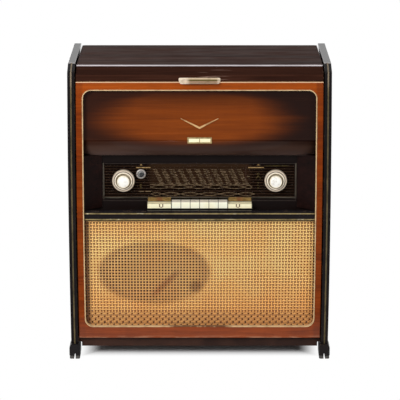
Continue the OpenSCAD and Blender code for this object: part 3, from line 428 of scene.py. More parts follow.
def handleBrass():  # painted highlights on the rims and at both ends, brightest at the left end; darker olive across the scoop
    finish, tree, shader = startFinish("handleBrassPaintedLight")
    # painted highlights on the rims, set by height
    high = spread(tree, axisOf(tree, 2), 0.7225, 0.736, soft=False)
    body = ramp(tree, high, (0.0, tone(112, 90, 70)), (0.1, tone(168, 140, 116)),
                (0.36, tone(160, 134, 108)), (0.44, tone(92, 78, 42)), (0.62, tone(108, 94, 56)),
                (0.72, tone(184, 162, 128)), (1.0, tone(220, 198, 168)))
    patch = noise(tree, where(tree), 60, 4)
    # painted highlights at the ends
    endHighlights = larger(tree, spread(tree, axisOf(tree, 0), -0.022, -0.036, 0, 0.8),
                spread(tree, axisOf(tree, 0), 0.042, 0.047, 0, 0.45))
    body = blend(tree, times(tree, endHighlights, spread(tree, patch, 0.2, 0.6, 0.6, 1)), body, tone(246, 228, 206))
    body = blend(tree, spread(tree, patch, 0.5, 0.75, 0, 0.4), body, tone(104, 88, 54))
    feed(tree, body, shader, "Base Color")
    feed(tree, spread(tree, patch, 0.3, 0.7, 0.2, 0.36), shader, "Roughness")
    shader.inputs["Metallic"].default_value = 0
    setShine(shader, 0.05)
    relief(tree, shader, noise(tree, where(tree, (8, 300, 300)), 1, 3), 0.0001, 0.2)
    return finish


def stripBrass():  # bright along the middle, darker along both edges
    finish, tree, shader = startFinish("stripBrass")
    worn = noise(tree, where(tree), 20, 5, 0.6)
    colour = blend(tree, spread(tree, worn, 0.42, 0.7, 0, 0.4), tone(236, 196, 158), tone(204, 166, 128))
    high = axisOf(tree, 2)
    edge = larger(tree, spread(tree, high, 0.7241, 0.7232), spread(tree, high, 0.7250, 0.7260))
    colour = blend(tree, times(tree, edge, 0.85), colour, tone(112, 62, 28))
    feed(tree, colour, shader, "Base Color")
    feed(tree, spread(tree, worn, 0.3, 0.7, 0.24, 0.42), shader, "Roughness")
    shader.inputs["Metallic"].default_value = 0.1
    setShine(shader, 0.05)
    return finish


def tuningEye():  # the tube is off: a dark cap, with a painted highlight as a pale crescent round its upper left
    finish, tree, shader = startFinish("tuningEye")

    def off(x, z):
        aside = minus(tree, axisOf(tree, 0), x)
        above = minus(tree, axisOf(tree, 2), z)
        squares = plus(tree, times(tree, aside, aside), times(tree, above, above))
        return calc(tree, "SQRT", squares)

    # painted highlight: a pale crescent round the upper left
    within = spread(tree, off(-0.1487, 0.4805), 0.0078, 0.0070)
    beyond = spread(tree, off(-0.1468, 0.4785), 0.0060, 0.0068)
    crescent = times(tree, within, beyond)
    feed(tree, blend(tree, crescent, tone(30, 32, 34), tone(120, 120, 118)), shader, "Base Color")
    shader.inputs["Roughness"].default_value = 0.1
    return finish


def clearGlass(name, tint, rim):
    finish, tree, shader = startFinish(name)
    tree.nodes.remove(shader)
    through = add(tree, "BsdfTransparent", {"Color": tint})
    shine = add(tree, "BsdfGlossy", {"Color": (1, 1, 1, 1), "Roughness": 0.03})
    amount = add(tree, "Fresnel", {"IOR": rim}).outputs[0]
    mixed = add(tree, "MixShader", {0: amount, 1: through.outputs[0], 2: shine.outputs[0]})
    tree.links.new(mixed.outputs[0], tree.nodes["Material Output"].inputs["Surface"])
    return finish


def dialGround():  # a brown haze behind the middle of the dial
    finish, tree, shader = startFinish("dialGround")
    patch = noise(tree, where(tree), 40, 4)
    ground = blend(tree, patch, tone(24, 13, 10), tone(19, 10, 8))
    across, high = axisOf(tree, 0), axisOf(tree, 2)
    beside = spread(tree, plain(tree, across), 0.138, 0.118)
    band = spread(tree, high, 0.486, 0.502)
    lower = times(tree, spread(tree, high, 0.442, 0.462), 0.45)
    haze = times(tree, beside, larger(tree, band, lower))
    feed(tree, blend(tree, haze, ground, tone(86, 64, 46)), shader, "Base Color")
    feed(tree, spread(tree, patch, 0.3, 0.7, 0.5, 0.7), shader, "Roughness")
    setShine(shader, 0.04)
    relief(tree, shader, patch, 0.0001, 0.2)
    return finish


def keyIvory():  # darker along the edges of the narrow keys; the upward faces get a pinkish painted reflection
    finish, tree, shader = startFinish("keyIvory")
    patch = noise(tree, where(tree), 18, 4, 0.55)
    body = blend(tree, spread(tree, patch, 0.35, 0.7), tone(255, 255, 232), tone(255, 250, 216))
    across = plus(tree, axisOf(tree, 0), 0.237)
    fromEdge = calc(tree, "PINGPONG", across, 0.01185)
    grimeAndShade = spread(tree, fromEdge, 0.0013, 0.0004, 0, 0.85)
    # painted reflection: the upward faces are tinted pinkish
    top = spread(tree, axisOf(tree, 2, add(tree, "NewGeometry").outputs["Normal"]), 0.5, 0.95, 0, 0.5)
    body = blend(tree, top, body, tone(244, 226, 214))
    feed(tree, blend(tree, grimeAndShade, body, tone(86, 80, 60)), shader, "Base Color")
    feed(tree, spread(tree, patch, 0.3, 0.7, 0.22, 0.34), shader, "Roughness")
    relief(tree, shader, noise(tree, where(tree), 700, 2), 0.00005, 0.3)
    return finish


finishes = {
    "lacquer": blackLacquer("blackLacquer"),
    "sideLacquer": blackLacquer("sideLacquer", edgeHighlights=True),
    "footLacquer": blackLacquer("footLacquer", tone(30, 28, 29), 0.4),
    "frame": frameVeneer(),
    "panel": panelVeneer(),
    "lid": lidVeneer(),
    "darkWood": plainWood("recessMahogany", [tone(37, 19, 16), tone(26, 13, 11), tone(17, 9, 8)], 0.35),
    "boardWood": paintedBoard("underBoard", tone(60, 38, 30), tone(40, 26, 22)),
    "plywood": plainWood("plywood", [tone(206, 170, 120), tone(186, 146, 98), tone(150, 112, 72)], 0.65),
    "hardboard": paintedBoard("hardboardBack", tone(112, 78, 50), tone(86, 58, 38), 0.7),
    "baffle": baffleStainAndShade(),
    "deckWood": plainWood("deckVeneer", [wood["deckLight"], wood["deckMid"], wood["deckDark"]], 0.35),
    "bead": metal("beadBrass", tone(212, 182, 138), tone(156, 124, 90), 0.3, 0, 60, 0.6,
                  rubbed=(0.083, 0.086), shine=0.04),
    "plateGold": metal("plateGold", tone(160, 138, 92), tone(104, 86, 50), 0.3, 0.5, 90, 0.7),
    "chevronGold": metal("chevronGold", tone(206, 166, 112), tone(140, 96, 50), 0.3, 0.2, 40, 0.8),
    "gilt": metal("agedGilt", tone(98, 86, 60), tone(56, 49, 34), 0.5, 0, 26, 0.8, (0.70, 0.728),
                  shine=0.08),
    "railGilt": metal("railGilt", tone(152, 134, 92), tone(84, 72, 48), 0.45, 0.1, 34, 0.8,
                      chipped=True, shine=0.06),
    "brass": metal("handleBrass", tone(196, 174, 134), tone(128, 110, 80), 0.16, 0.35),
    "strip": stripBrass(),
    "handle": handleBrass(),
    "ivory": keyIvory(),
    "cream": moulded("toneKeyCream", tone(255, 250, 214), tone(255, 243, 200), 0.25, 18),
    "knobRing": turnedKnob("champagneRing", [
        (16.5, tone(236, 220, 194)), (17.4, tone(196, 180, 150)), (19.2, tone(188, 172, 140)),
        (19.9, tone(250, 238, 218)), (22.4, tone(252, 240, 220)), (22.9, tone(112, 94, 76)),
        (24.2, tone(104, 86, 68)), (24.6, tone(220, 204, 184)), (28.4, tone(186, 170, 150))]),
    "knobInner": turnedKnob("knobIvory", [
        (12.6, tone(255, 253, 246)), (13.1, tone(236, 224, 200)), (14.2, tone(250, 242, 224)),
        (15.6, tone(240, 228, 204)), (16.2, tone(206, 192, 164))], metallic=0.0),
    "surround": paintedBoard("dialSurround", tone(17, 9, 8), tone(13, 7, 6), 0.5, 0.07),
    "dialPlate": dialGround(),
    "dialGlass": clearGlass("dialGlass", tone(240, 236, 230), 1.06),
    "pointer": moulded("pointerRed", tone(74, 34, 26), tone(60, 28, 22), 0.5),
    "eyeBezel": metal("eyeBezel", tone(170, 162, 156), tone(110, 104, 100), 0.3, 0.8),
    "eyeLens": tuningEye(),
    "steel": metal("zincSteel", tone(176, 176, 172), tone(128, 126, 120), 0.35),
    "nickel": metal("nickel", tone(206, 200, 190), tone(150, 144, 134), 0.18),
    "iron": metal("blackIron", tone(52, 50, 50), tone(34, 32, 32), 0.5, 0.7),
    "valveGlass": metal("valveGlass", tone(88, 92, 96), tone(40, 42, 46), 0.1, 0.5),
    "enamel": moulded("changerEnamel", tone(226, 212, 182), tone(214, 198, 166), 0.3),
    "rubber": moulded("matRubber", tone(46, 42, 42), tone(58, 52, 52), 0.7, 60),
    "bakelite": moulded("bakelite", tone(60, 30, 20), tone(44, 22, 16), 0.25),
    "armIvory": moulded("armIvory", tone(238, 226, 200), tone(226, 212, 182), 0.28),
    "cone": paintedBoard("conePaper", tone(58, 26, 6), tone(42, 19, 5), 0.9, 0.05),
    "basket": metal("basketSteel", tone(98, 96, 92), tone(70, 66, 60), 0.5, 0.7),
    "felt": paintedBoard("glideFelt", tone(96, 94, 92), tone(70, 68, 66), 0.9),
}

wearing = {
    "lacquer": ["divider_rail"],
    "sideLacquer": ["side_panel_left", "side_panel_right"],
    "footLacquer": ["feet"],
    "felt": ["glide_pads"],
    "frame": ["front_frame"],
    "panel": ["upper_panel"],
    "lid": ["lid"],
    "darkWood": ["recess_cheeks"],
    "boardWood": ["bottom_board", "rear_rail"],
    "plywood": ["chassis_shelf"],
    "hardboard": ["back_panel"],
    "baffle": ["baffle_board"],
    "deckWood": ["motor_board"],
    "bead": ["aperture_bead"],
    "plateGold": ["plate_frame"],
    "chevronGold": ["chevron_trim"],
    "gilt": ["edge_strips"],
    "railGilt": ["rail_strips"],
    "handle": ["lid_handle"],
    "brass": ["case_hinges", "lid_hinges"],
    "strip": ["top_strip"],
    "ivory": ["key_1", "key_2", "key_3", "key_4", "key_5", "key_6"],
    "cream": ["tone_key_left", "tone_key_right", "plate_inlays"],
    "knobRing": ["balance_ring", "tuning_ring"],
    "knobInner": ["volume_knob", "tuning_knob"],
    "surround": ["dial_surround"],
    "dialPlate": ["dial_backplate"],
    "dialGlass": ["dial_glass"],
    "pointer": ["dial_pointer"],
    "eyeBezel": ["eye_bezel"],
    "eyeLens": ["eye_tube"],
    "steel": ["radio_chassis", "lid_stay", "stay_stud", "back_screws"],
    "nickel": ["spindle", "key_axle"],
    "iron": ["transformers"],
    "valveGlass": ["valves"],
    "enamel": ["changer_plate", "platter"],
    "rubber": ["platter_mat"],
    "bakelite": ["control_lever", "arm_yoke"],
    "armIvory": ["tonearm"],
    "cone": ["speaker_cone"],
    "basket": ["speaker_basket"],
}
for kind, names in wearing.items():
    for name in names:
        for held in nodeOf[name].material_slots:
            held.material = finishes[kind]
print("finishes on", sum(map(len, wearing.values())), "nodes")


# Mesh helpers

def makePiece(name, points, faces, finish, body="cabinet", smooth=True):
    mesh = bpy.data.meshes.new(name)
    mesh.from_pydata(points, [], faces)
    mesh.validate()
    for face in mesh.polygons:
        face.use_smooth = smooth
    piece = bpy.data.objects.new(name, mesh)
    bpy.context.scene.collection.objects.link(piece)
    piece.data.materials.append(finish)
    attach(piece, body)
    return piece


def bowY(high, inset):  # the bow that every front piece follows
    return 1.812 - math.sqrt((2.0 - inset) ** 2 - (high - 0.45) ** 2)


def addPlate(points, faces, outline, front, back):  # outline in X and Z, anticlockwise from the front
    start, many = len(points), len(outline)
    points += [(x, front, z) for x, z in outline] + [(x, back, z) for x, z in outline]
    faces.append(tuple(range(start, start + many)))
    faces.append(tuple(range(start + 2 * many - 1, start + many - 1, -1)))
    for i in range(many):
        j = (i + 1) % many
        faces.append((start + i, start + many + i, start + many + j, start + j))


def bar(left, right, low, high):
    return [(left, low), (right, low), (right, high), (left, high)]


def stroke(path, thick):  # a line of even height through the places of a path, as short quads
    half = thick / 2
    return [[(x0, z0 - half), (x1, z1 - half), (x1, z1 + half), (x0, z0 + half)]
            for (x0, z0), (x1, z1) in zip(path, path[1:])]


def makePrint(name, outlines, front, back, finish, body="cabinet"):
    points, faces = [], []
    for outline in outlines:
        addPlate(points, faces, outline, front, back)
    return makePiece(name, points, faces, finish, body, smooth=False)


# What is printed behind the dial glass, and the trim round it

dial = {
    "print": (-0.1168, -0.1166),     # behind the glass
    "trim": (-0.1224, -0.1208),      # before it, bedded in the surround
    "side": 0.2448, "low": 0.4106, "high": 0.5079,
    "borderWidth": 0.0011,
    "rulePitch": 0.0072, "ruleHeight": 0.0016, "firstRule": 0.4207, "rules": 12,
    "knobX": 0.1932, "knobZ": 0.4646, "knobClear": 0.024,
    "eyeX": -0.1487, "eyeZ": 0.4805, "eyeClear": 0.0105,
    "stations": 11, "rows": 10,      # slanted columns of short marks
    "field": (-0.113, 0.100, 0.4905, 0.4545), "slant": 0.0176,
    "nodesHigh": (-0.126, -0.078, -0.0246, 0.0189, 0.0644, 0.1145, 0.134),
    "nodesLow": (-0.1236, -0.0959, -0.0488, -0.0002, 0.0515, 0.0968, 0.1405),
}


def printFinish(name, colour, fade, gloss=0.5):
    finish, tree, shader = startFinish(name)
    patch = noise(tree, where(tree), 160, 3)
    feed(tree, blend(tree, spread(tree, patch, 0.35, 0.68), colour, fade), shader, "Base Color")
    feed(tree, spread(tree, patch, 0.3, 0.7, gloss - 0.1, gloss + 0.1), shader, "Roughness")
    setShine(shader, 0.1)
    relief(tree, shader, patch, 0.00005, 0.3)
    return finish


def gaps(z, half):  # the stretches of a rule that pass clear of the knobs and the eye
    cuts = []
    for x, high, clear in ((-dial["knobX"], dial["knobZ"], dial["knobClear"]),
                           (dial["knobX"], dial["knobZ"], dial["knobClear"]),
                           (dial["eyeX"], dial["eyeZ"], dial["eyeClear"])):
        if abs(z - high) < clear + half:
            reach = math.sqrt(max((clear + half) ** 2 - (z - high) ** 2, 0.000001))
            cuts.append((x - reach, x + reach))
    cuts.sort()
    at, runs = -dial["side"] + 0.002, []
    for low, high in cuts:
        if low > at:
            runs.append((at, low))
        at = max(at, high)
    runs.append((at, dial["side"] - 0.002))
    return runs


def wave(nodes, z, swell):
    lines = []
    for x0, x1 in zip(nodes, nodes[1:]):
        for side in (-1, 1):
            path = [(x0 + (x1 - x0) * i / 8, z + side * swell * math.sin(math.pi * i / 8)) for i in range(9)]
            lines += stroke(path, 0.0011)
    return lines


def printDial():
    chance = random.Random(7)
    front, back = dial["print"]
    rules = []
    for i in range(dial["rules"]):
        z, half = dial["firstRule"] + i * dial["rulePitch"], dial["ruleHeight"] / 2
        rules += [bar(low, high, z - half, z + half) for low, high in gaps(z, half)]
    makePrint("dialRules", rules, front, back, printFinish("ruleBrown", tone(84, 64, 53), tone(60, 46, 38)))

    left, right, high, low = dial["field"]
    marks = []
    for i in range(dial["stations"]):
        for j in range(dial["rows"]):
            down = j / (dial["rows"] - 1)
            x = left + (right - left) * i / (dial["stations"] - 1) + dial["slant"] * down
            z = high + (low - high) * down
            wide = chance.uniform(0.0048, 0.0072)
            tip = chance.uniform(-0.0012, 0.0012)
            split = chance.uniform(-0.4, 0.4) * wide
            marks += stroke([(x - wide, z - tip), (x + split - 0.0006, z)], 0.0015)
            marks += stroke([(x + split + 0.0006, z), (x + wide, z + tip)], 0.0015)
    marks += wave(dial["nodesHigh"], 0.4456, 0.0042) + wave(dial["nodesLow"], 0.4274, 0.0042)
    marks += [bar(-0.126, 0.128, 0.4520, 0.4532)]
    for x in [-0.118 + 0.0107 * i for i in range(23)]:
        marks += [bar(x - 0.002, x + 0.002, 0.5062, 0.5070)]
    for x0, x1, z in ((-0.1554, -0.1414, 0.4342), (-0.1376, -0.1236, 0.4342), (0.1203, 0.1274, 0.473)):
        marks += [bar(x0, x1, z - 0.0009, z + 0.0009)]
    makePrint("dialMarks", marks, front - 0.0003, back - 0.0003,
              printFinish("markTan", tone(150, 130, 104), tone(92, 78, 62)))

    gold = [bar(-0.1613, -0.1248, 0.4952, 0.4972), bar(0.1234, 0.163, 0.4952, 0.4972)]
    for x in (-0.1484, 0.1490):
        gold.append([(x - 0.0034, 0.502), (x + 0.0034, 0.502), (x, 0.5062)])
    makePrint("dialGold", gold, front - 0.0003, back - 0.0003,
              printFinish("dialGold", tone(214, 184, 134), tone(150, 120, 72)))
    olive = [bar(0.1678, 0.2244, 0.4998, 0.5014), bar(0.1454, 0.1524, 0.4785, 0.4812)]
    olive += stroke([(0.1437, 0.4678), (0.1489, 0.4748), (0.1551, 0.4678)], 0.003)
    for z in (0.4432, 0.4475, 0.4518):
        olive.append(bar(-0.1515, -0.1473, z - 0.0011, z + 0.0011))
    for z in (0.4432, 0.450, 0.457):
        olive.append(bar(0.1465, 0.151, z - 0.0011, z + 0.0011))
    makePrint("dialOlive", olive, front - 0.0003, back - 0.0003,
              printFinish("dialOlive", tone(96, 84, 48), tone(62, 54, 34)))

    front, back = dial["trim"]
    side, low, high, wide = dial["side"], dial["low"], dial["high"], dial["borderWidth"]
    border = [bar(-side, side, low, low + wide), bar(-side, side, high - wide, high),
              bar(-side, -side + wide, low + wide, high - wide),
              bar(side - wide, side, low + wide, high - wide)]
    for i in range(6):  # a short tick over each narrow key
        x = (i - 2.5) * 0.0237
        border.append(bar(x - 0.0042, x + 0.0042, 0.4141, 0.4151))
    makePrint("dialBorder", border, front, back,
              printFinish("borderGrey", tone(62, 52, 47), tone(46, 39, 35)))


toneWindow = {"left": 0.0733, "right": 0.1312, "low": 0.4100, "high": 0.4200}


def toneWindows():
    finish, tree, shader = startFinish("windowAmber")
    across = plain(tree, axisOf(tree, 0))
    patch = noise(tree, where(tree, (1, 1, 3)), 120, 3)
    middle = plain(tree, minus(tree, across, 0.102))
    colour = blend(tree, spread(tree, patch, 0.35, 0.65), tone(136, 110, 64), tone(94, 72, 38))
    colour = blend(tree, spread(tree, middle, 0.012, 0.002, 0, 0.6), colour, tone(108, 60, 40))
    feed(tree, colour, shader, "Base Color")
    feed(tree, spread(tree, patch, 0.3, 0.7, 0.2, 0.35), shader, "Roughness")
    setShine(shader, 0.12)
    relief(tree, shader, patch, 0.0001, 0.3)
    w = toneWindow
    plates = [bar(w["left"], w["right"], w["low"], w["high"]),
              bar(-w["right"], -w["left"], w["low"], w["high"])]
    makePrint("toneWindows", plates, -0.1226, -0.1212, finish)
    dark = printFinish("keyMarkBrown", tone(96, 52, 34), tone(74, 40, 28))
    for side, body in ((-1, "tone_key_left"), (1, "tone_key_right")):
        bars = [bar(side * x - 0.0012, side * x + 0.0012, 0.4010, 0.4088) for x in (0.1012, 0.0932)]
        bars.append(bar(side * 0.0972 - 0.0028, side * 0.0972 + 0.0028, 0.3998, 0.4016))
        makePrint("keyMark" + ("Left" if side < 0 else "Right"), bars, -0.15047, -0.1502, dark, body)


ringDots = {"many": 56, "out": 0.0234, "size": 0.00055, "front": -0.1312}


def beadRings():
    finish = finishes["knobRing"]
    for side, body in ((-1, "balance_ring"), (1, "tuning_ring")):
        points, faces = [], []
        for i in range(ringDots["many"]):
            turn = 2 * math.pi * i / ringDots["many"]
            x = side * dial["knobX"] + ringDots["out"] * math.cos(turn)
            z = dial["knobZ"] + ringDots["out"] * math.sin(turn)
            s, y, at = ringDots["size"], ringDots["front"], len(points)
            points += [(x, y - s, z), (x + s, y, z), (x, y, z + s),
                       (x - s, y, z), (x, y, z - s), (x, y + s, z)]
            for k in range(4):
                faces += [(at, at + 1 + k, at + 1 + (k + 1) % 4), (at + 5, at + 1 + (k + 1) % 4, at + 1 + k)]
        makePiece("ringDots" + ("Left" if side < 0 else "Right"), points, faces, finish, body)


roll = {
    "middle": (-0.12705, 0.5706),     # Y and Z of the axis that the front panel's lower edge turns about
    "in": 0.03605, "out": 0.0362, "drop": 0.0400,
    "half": 0.2936,
}


def easeRoll():  # fills the rounding of the panel's lower edge out to a fuller curve
    midY, midZ = roll["middle"]
    outer = [math.radians(-8 + 106 * i / 30) for i in range(31)]
    inner = [math.radians(90 * (1 - i / 16)) for i in range(17)]
    profile = [(midY - roll["out"] * math.cos(a), midZ - roll["drop"] * math.sin(a)) for a in outer]
    profile += [(midY - roll["in"] * math.cos(a), midZ - roll["in"] * math.sin(a)) for a in inner]
    many = len(profile)
    points = [(x, y, z) for x in (-roll["half"], roll["half"]) for y, z in profile]
    faces = [(i, many + i, many + (i + 1) % many, (i + 1) % many) for i in range(many)]
    faces += [tuple(range(many)), tuple(range(2 * many - 1, many - 1, -1))]
    piece = makePiece("rollFacing", points, faces, finishes["panel"])
    for face in piece.data.polygons:
        face.use_smooth = face.index < 30


printDial()
toneWindows()
beadRings()
easeRoll()
print("dial printed, panel edge eased")


# Grille cloth, woven from flat strands

cloth = {
    "left": -0.3008, "right": 0.3008, "low": 0.0763, "high": 0.3718,
    "pitchX": 0.00786, "pitchZ": 0.00795,
    "width": 0.0051, "thin": 0.0034,     # of a strand, and of one under the floats
    "drawn": 0.2,
    "thick": 0.0005,
    "rise": 0.00035,     # how far a strand goes over and under
    "inset": 0.0217,
    "floats": 0.045,     # height of the band along the bottom where long floats hide every other hole
    "light": tone(255, 217, 138), "dark": tone(255, 204, 122), "warm": tone(242, 166, 84),
    "fibre": tone(220, 158, 84), "shadeBrown": tone(176, 112, 58), "rust": tone(160, 78, 34),
    "crevice": tone(140, 62, 4),
    "oval": (-0.1156, 0.229, 0.141, 0.086),      # middle and half sizes of the oval over the loudspeaker, where the strands are drawn thinner and painted shade darkens them
    "streak": (-0.0880, 0.2000, 0.707, -0.707),
    "stain": (-0.010, 0.192, 0.018),
}


def clothFinish():
    finish, tree, shader = startFinish("grilleStrand")
    patch = noise(tree, where(tree), 14, 4)
    fibre = noise(tree, where(tree, (700, 700, 700)), 1, 3)
    wide = noise(tree, where(tree), 5, 4, 0.6)
    colour = blend(tree, spread(tree, patch, 0.3, 0.7), cloth["light"], cloth["dark"])
    colour = blend(tree, spread(tree, wide, 0.42, 0.68, 0, 0.5), colour, cloth["warm"])
    colour = blend(tree, spread(tree, fibre, 0.4, 0.7, 0, 0.3), colour, cloth["fibre"])
    across, high = axisOf(tree, 0), axisOf(tree, 2)
    colour = blend(tree, spread(tree, high, 0.24, 0.14, 0, 0.5), colour, cloth["warm"])

    def offset(value, by):
        return minus(tree, value, by)

    def reach(first, second):
        return calc(tree, "SQRT", plus(tree, calc(tree, "POWER", first, 2.0),
                                       calc(tree, "POWER", second, 2.0)))

    midX, midZ, halfX, halfZ = cloth["oval"]
    out = reach(calc(tree, "DIVIDE", offset(across, midX), halfX),
                calc(tree, "DIVIDE", offset(high, midZ), halfZ))
    out = plus(tree, out, spread(tree, wide, 0.3, 0.7, -0.05, 0.05))
    wedge = times(tree, spread(tree, across, -0.075, -0.02), spread(tree, high, 0.205, 0.165))
    # painted shade: darker over the loudspeaker's hole, with a darker ring near its left and right ends and
    # a lighter wedge at the lower right
    ovalShade = times(tree, spread(tree, out, 1.06, 0.9, 0, 0.36),
                  minus(tree, 1, times(tree, wedge, 0.75)))
    rim = times(tree, spread(tree, out, 0.7, 0.92), spread(tree, out, 1.06, 0.95))
    rim = times(tree, rim, spread(tree, plain(tree, offset(across, midX)), 0.05, 0.11, 0, 0.2))
    colour = blend(tree, plus(tree, ovalShade, rim, clamp=True), colour, cloth["shadeBrown"])
    baseX, baseZ, nx, nz = cloth["streak"]
    side = plus(tree, times(tree, offset(across, baseX), nx),
                times(tree, offset(high, baseZ), nz))
    along = plus(tree, times(tree, offset(across, baseX), -nz),
                 times(tree, offset(high, baseZ), nx))
    streak = times(tree, spread(tree, plain(tree, side), 0.014, 0.001),
                  spread(tree, plain(tree, along), 0.06, 0.03, 0, 0.55))
    spotX, spotZ, spotR = cloth["stain"]
    spot = spread(tree, reach(offset(across, spotX), offset(high, spotZ)), spotR * 1.3, spotR * 0.4, 0, 0.5)
    colour = blend(tree, streak, colour, cloth["rust"])
    colour = blend(tree, spot, colour, tone(104, 62, 30))
    # painted shade on the strands' sides by the holes, set by their facing
    facing = plain(tree, axisOf(tree, 1, add(tree, "NewGeometry").outputs["Normal"]))
    foot = spread(tree, high, 0.14, 0.11)
    grimeAndShade = times(tree, spread(tree, facing, 0.78, 0.3),  # by the holes, most along the bottom
                 plus(tree, 0.75, times(tree, foot, 0.25)))
    colour = blend(tree, grimeAndShade, colour, cloth["crevice"])
    # painted shade: darker towards the bottom
    colour = blend(tree, times(tree, foot, 0.42), colour, cloth["shadeBrown"])
    # painted shade cast by the frame and the divider rail along the sides and the top
    edge = larger(tree, spread(tree, across, -0.274, -0.286, 0, 0.85),
                spread(tree, across, 0.284, 0.293, 0, 0.7))
    edge = larger(tree, edge, spread(tree, high, 0.364, 0.371, 0, 0.7))
    colour = blend(tree, edge, colour, tone(98, 50, 12))
    feed(tree, colour, shader, "Base Color")
    feed(tree, spread(tree, fibre, 0.3, 0.7, 0.5, 0.7), shader, "Roughness")
    shader.inputs["Sheen Weight"].default_value = 0.2
    setShine(shader, 0.3)
    relief(tree, shader, fibre, 0.0003, 0.4)
    return finish


def weaveCloth():
    points, faces = [], []
    thick = cloth["thick"] / 2

    def slack(x, z):  # the strands are drawn thinner over the loudspeaker's mark
        midX, midZ, halfX, halfZ = cloth["oval"]
        out = math.hypot((x - midX) / halfX, (z - midZ) / halfZ)
        return 1 - cloth["drawn"] * min(max((1.15 - out) / 0.3, 0), 1)

    def strand(centres, sideways, width=cloth["width"]):
        start = len(points)
        for x, z, lift in centres:
            half = width / 2 * slack(x, z)
            for across, out in ((-half, 0), (0, -thick), (half, 0), (0, thick)):
                px, pz = (x + across, z) if sideways else (x, z + across)
                points.append((px, bowY(pz, cloth["inset"]) + out - lift, pz))
        for i in range(len(centres) - 1):
            a, b = start + 4 * i, start + 4 * (i + 1)
            for k in range(4):
                m = (k + 1) % 4
                quad = (a + k, a + m, b + m, b + k)
                faces.append(quad if sideways else quad[::-1])
        end = start + 4 * (len(centres) - 1)
        caps = [(start + 3, start + 2, start + 1, start), (end, end + 1, end + 2, end + 3)]
        faces.extend(caps if sideways else [c[::-1] for c in caps])

    countX = int((cloth["right"] - cloth["left"]) / cloth["pitchX"])
    countZ = int((cloth["high"] - cloth["low"]) / cloth["pitchZ"])
    firstX = (cloth["left"] + cloth["right"] - (countX - 1) * cloth["pitchX"]) / 2
    firstZ = (cloth["low"] + cloth["high"] - (countZ - 1) * cloth["pitchZ"]) / 2
    for i in range(countX):
        x = firstX + i * cloth["pitchX"]
        line = [(x, cloth["low"] + 0.0003, 0)]
        for j in range(countZ):
            z = firstZ + j * cloth["pitchZ"]
            line.append((x, z, cloth["rise"] * (1 if (i + j) % 2 else -1)))
            if j < countZ - 1:
                line.append((x, z + cloth["pitchZ"] / 2, 0))
        line.append((x, cloth["high"] - 0.0003, 0))
        strand(line, True)
    for j in range(countZ):
        z = firstZ + j * cloth["pitchZ"]
        line = [(cloth["left"] + 0.0003, z, 0)]
        for i in range(countX):
            x = firstX + i * cloth["pitchX"]
            line.append((x, z, cloth["rise"] * (-1 if (i + j) % 2 else 1)))
            if i < countX - 1:
                line.append((x + cloth["pitchX"] / 2, z, 0))
        line.append((cloth["right"] - 0.0003, z, 0))
        strand(line, False, cloth["thin"] if z < cloth["low"] + cloth["floats"] else cloth["width"])
    for j in range(countZ - 1):
        z = firstZ + (j + 0.5) * cloth["pitchZ"]
        if z < cloth["low"] + cloth["floats"]:
            for i in range(j % 2, countX - 1, 2):
                p, lift = cloth["pitchX"], cloth["rise"] + cloth["thick"]
                x = firstX + (i + 0.5) * p
                strand([(x - 0.8 * p, z, 0), (x - 0.4 * p, z, lift),
                        (x + 0.4 * p, z, lift), (x + 0.8 * p, z, 0)], False)
    piece = makePiece("grilleWeave", points, faces, clothFinish())
    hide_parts("grille_cloth")
    print("grille woven:", countX, "by", countZ, "strands")


weaveCloth()


# Floor and lamps

studio = {
    "floor": 2.4,        # metres from the middle of the floor to its edge
    "paper": (0.7, 1.7), # where the pool of light on it ends
    "room": 0.12,        # how much light the room gives from all round
    "key": ((-1.9, -3.2, 2.1), (1.3, 1.3), 112),
    "fill": ((2.6, -3.2, 1.3), (1.8, 1.8), 42),
    "top": ((0.0, -1.4, 3.0), (2.4, 1.0), 14),
    "rear": ((-1.6, 3.0, 1.5), (1.8, 1.8), 34),      # for the back
}


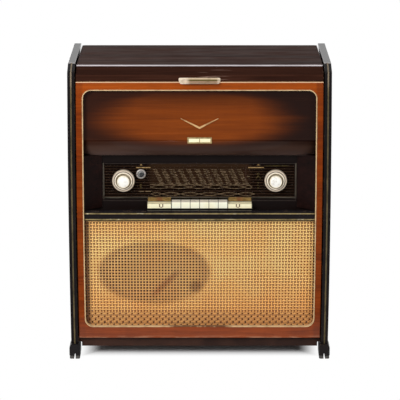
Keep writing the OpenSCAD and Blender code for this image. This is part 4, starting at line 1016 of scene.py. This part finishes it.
def layFloor():
    finish, tree, shader = startFinish("whitePaper")
    tree.nodes.remove(shader)
    grain = noise(tree, where(tree), 60, 3)
    pale = blend(tree, grain, (0.88, 0.88, 0.88, 1), (0.92, 0.92, 0.92, 1))
    out = add(tree, "VectorMath", {0: add(tree, "TexCoord").outputs["Object"]}, operation="LENGTH")
    pale = blend(tree, spread(tree, out.outputs["Value"], *studio["paper"]), pale, (0.06, 0.06, 0.06, 1))
    lit = add(tree, "BsdfDiffuse", {"Color": pale})
    glow = add(tree, "Emission", {"Color": (1, 1, 1, 1), "Strength": 1.0})
    across = minus(tree, plain(tree, axisOf(tree, 0)), 0.33)
    along = minus(tree, plain(tree, axisOf(tree, 1)), 0.15)
    away = larger(tree, across, along)  # how far outside the feet
    paths = add(tree, "LightPath").outputs
    seen = larger(tree, paths["Is Camera Ray"], paths["Is Transmission Ray"])
    seen = larger(tree, seen, paths["Is Glossy Ray"])
    amount = times(tree, seen, spread(tree, away, -0.076, -0.014, 0.0, 1.0))
    mixed = add(tree, "MixShader", {0: amount, 1: lit.outputs[0], 2: glow.outputs[0]})
    tree.links.new(mixed.outputs[0], tree.nodes["Material Output"].inputs["Surface"])
    mesh = bpy.data.meshes.new("floor")
    ring = [(studio["floor"] * math.cos(a), studio["floor"] * math.sin(a), 0)
            for a in (2 * math.pi * i / 96 for i in range(96))]
    mesh.from_pydata(ring, [], [tuple(range(96))])
    floor = bpy.data.objects.new("floor", mesh)
    bpy.context.scene.collection.objects.link(floor)
    mesh.materials.append(finish)


def lightStudio():
    scene = bpy.context.scene
    scene.view_settings.view_transform = "Standard"
    world = bpy.data.worlds.new("studio")
    scene.world = world
    world.use_nodes = True
    tree = world.node_tree
    back = tree.nodes["Background"]
    paths = add(tree, "LightPath").outputs
    seen = larger(tree, paths["Is Camera Ray"], paths["Is Transmission Ray"])
    seen = larger(tree, seen, paths["Is Glossy Ray"])
    tree.links.new(larger(tree, seen, studio["room"]), back.inputs["Strength"])
    back.inputs["Color"].default_value = (1, 1, 1, 1)
    for name in ("key", "fill", "top", "rear"):
        place, size, power = studio[name]
        lamp = bpy.data.lights.new(name, "AREA")
        lamp.shape = "RECTANGLE"
        lamp.size, lamp.size_y = size
        lamp.energy = power
        held = bpy.data.objects.new(name, lamp)
        scene.collection.objects.link(held)
        held.location = place
        aim = Vector((0, 0, 0.4)) - Vector(place)
        held.rotation_euler = aim.to_track_quat("-Z", "Y").to_euler()


setCamera()
layFloor()
lightStudio()
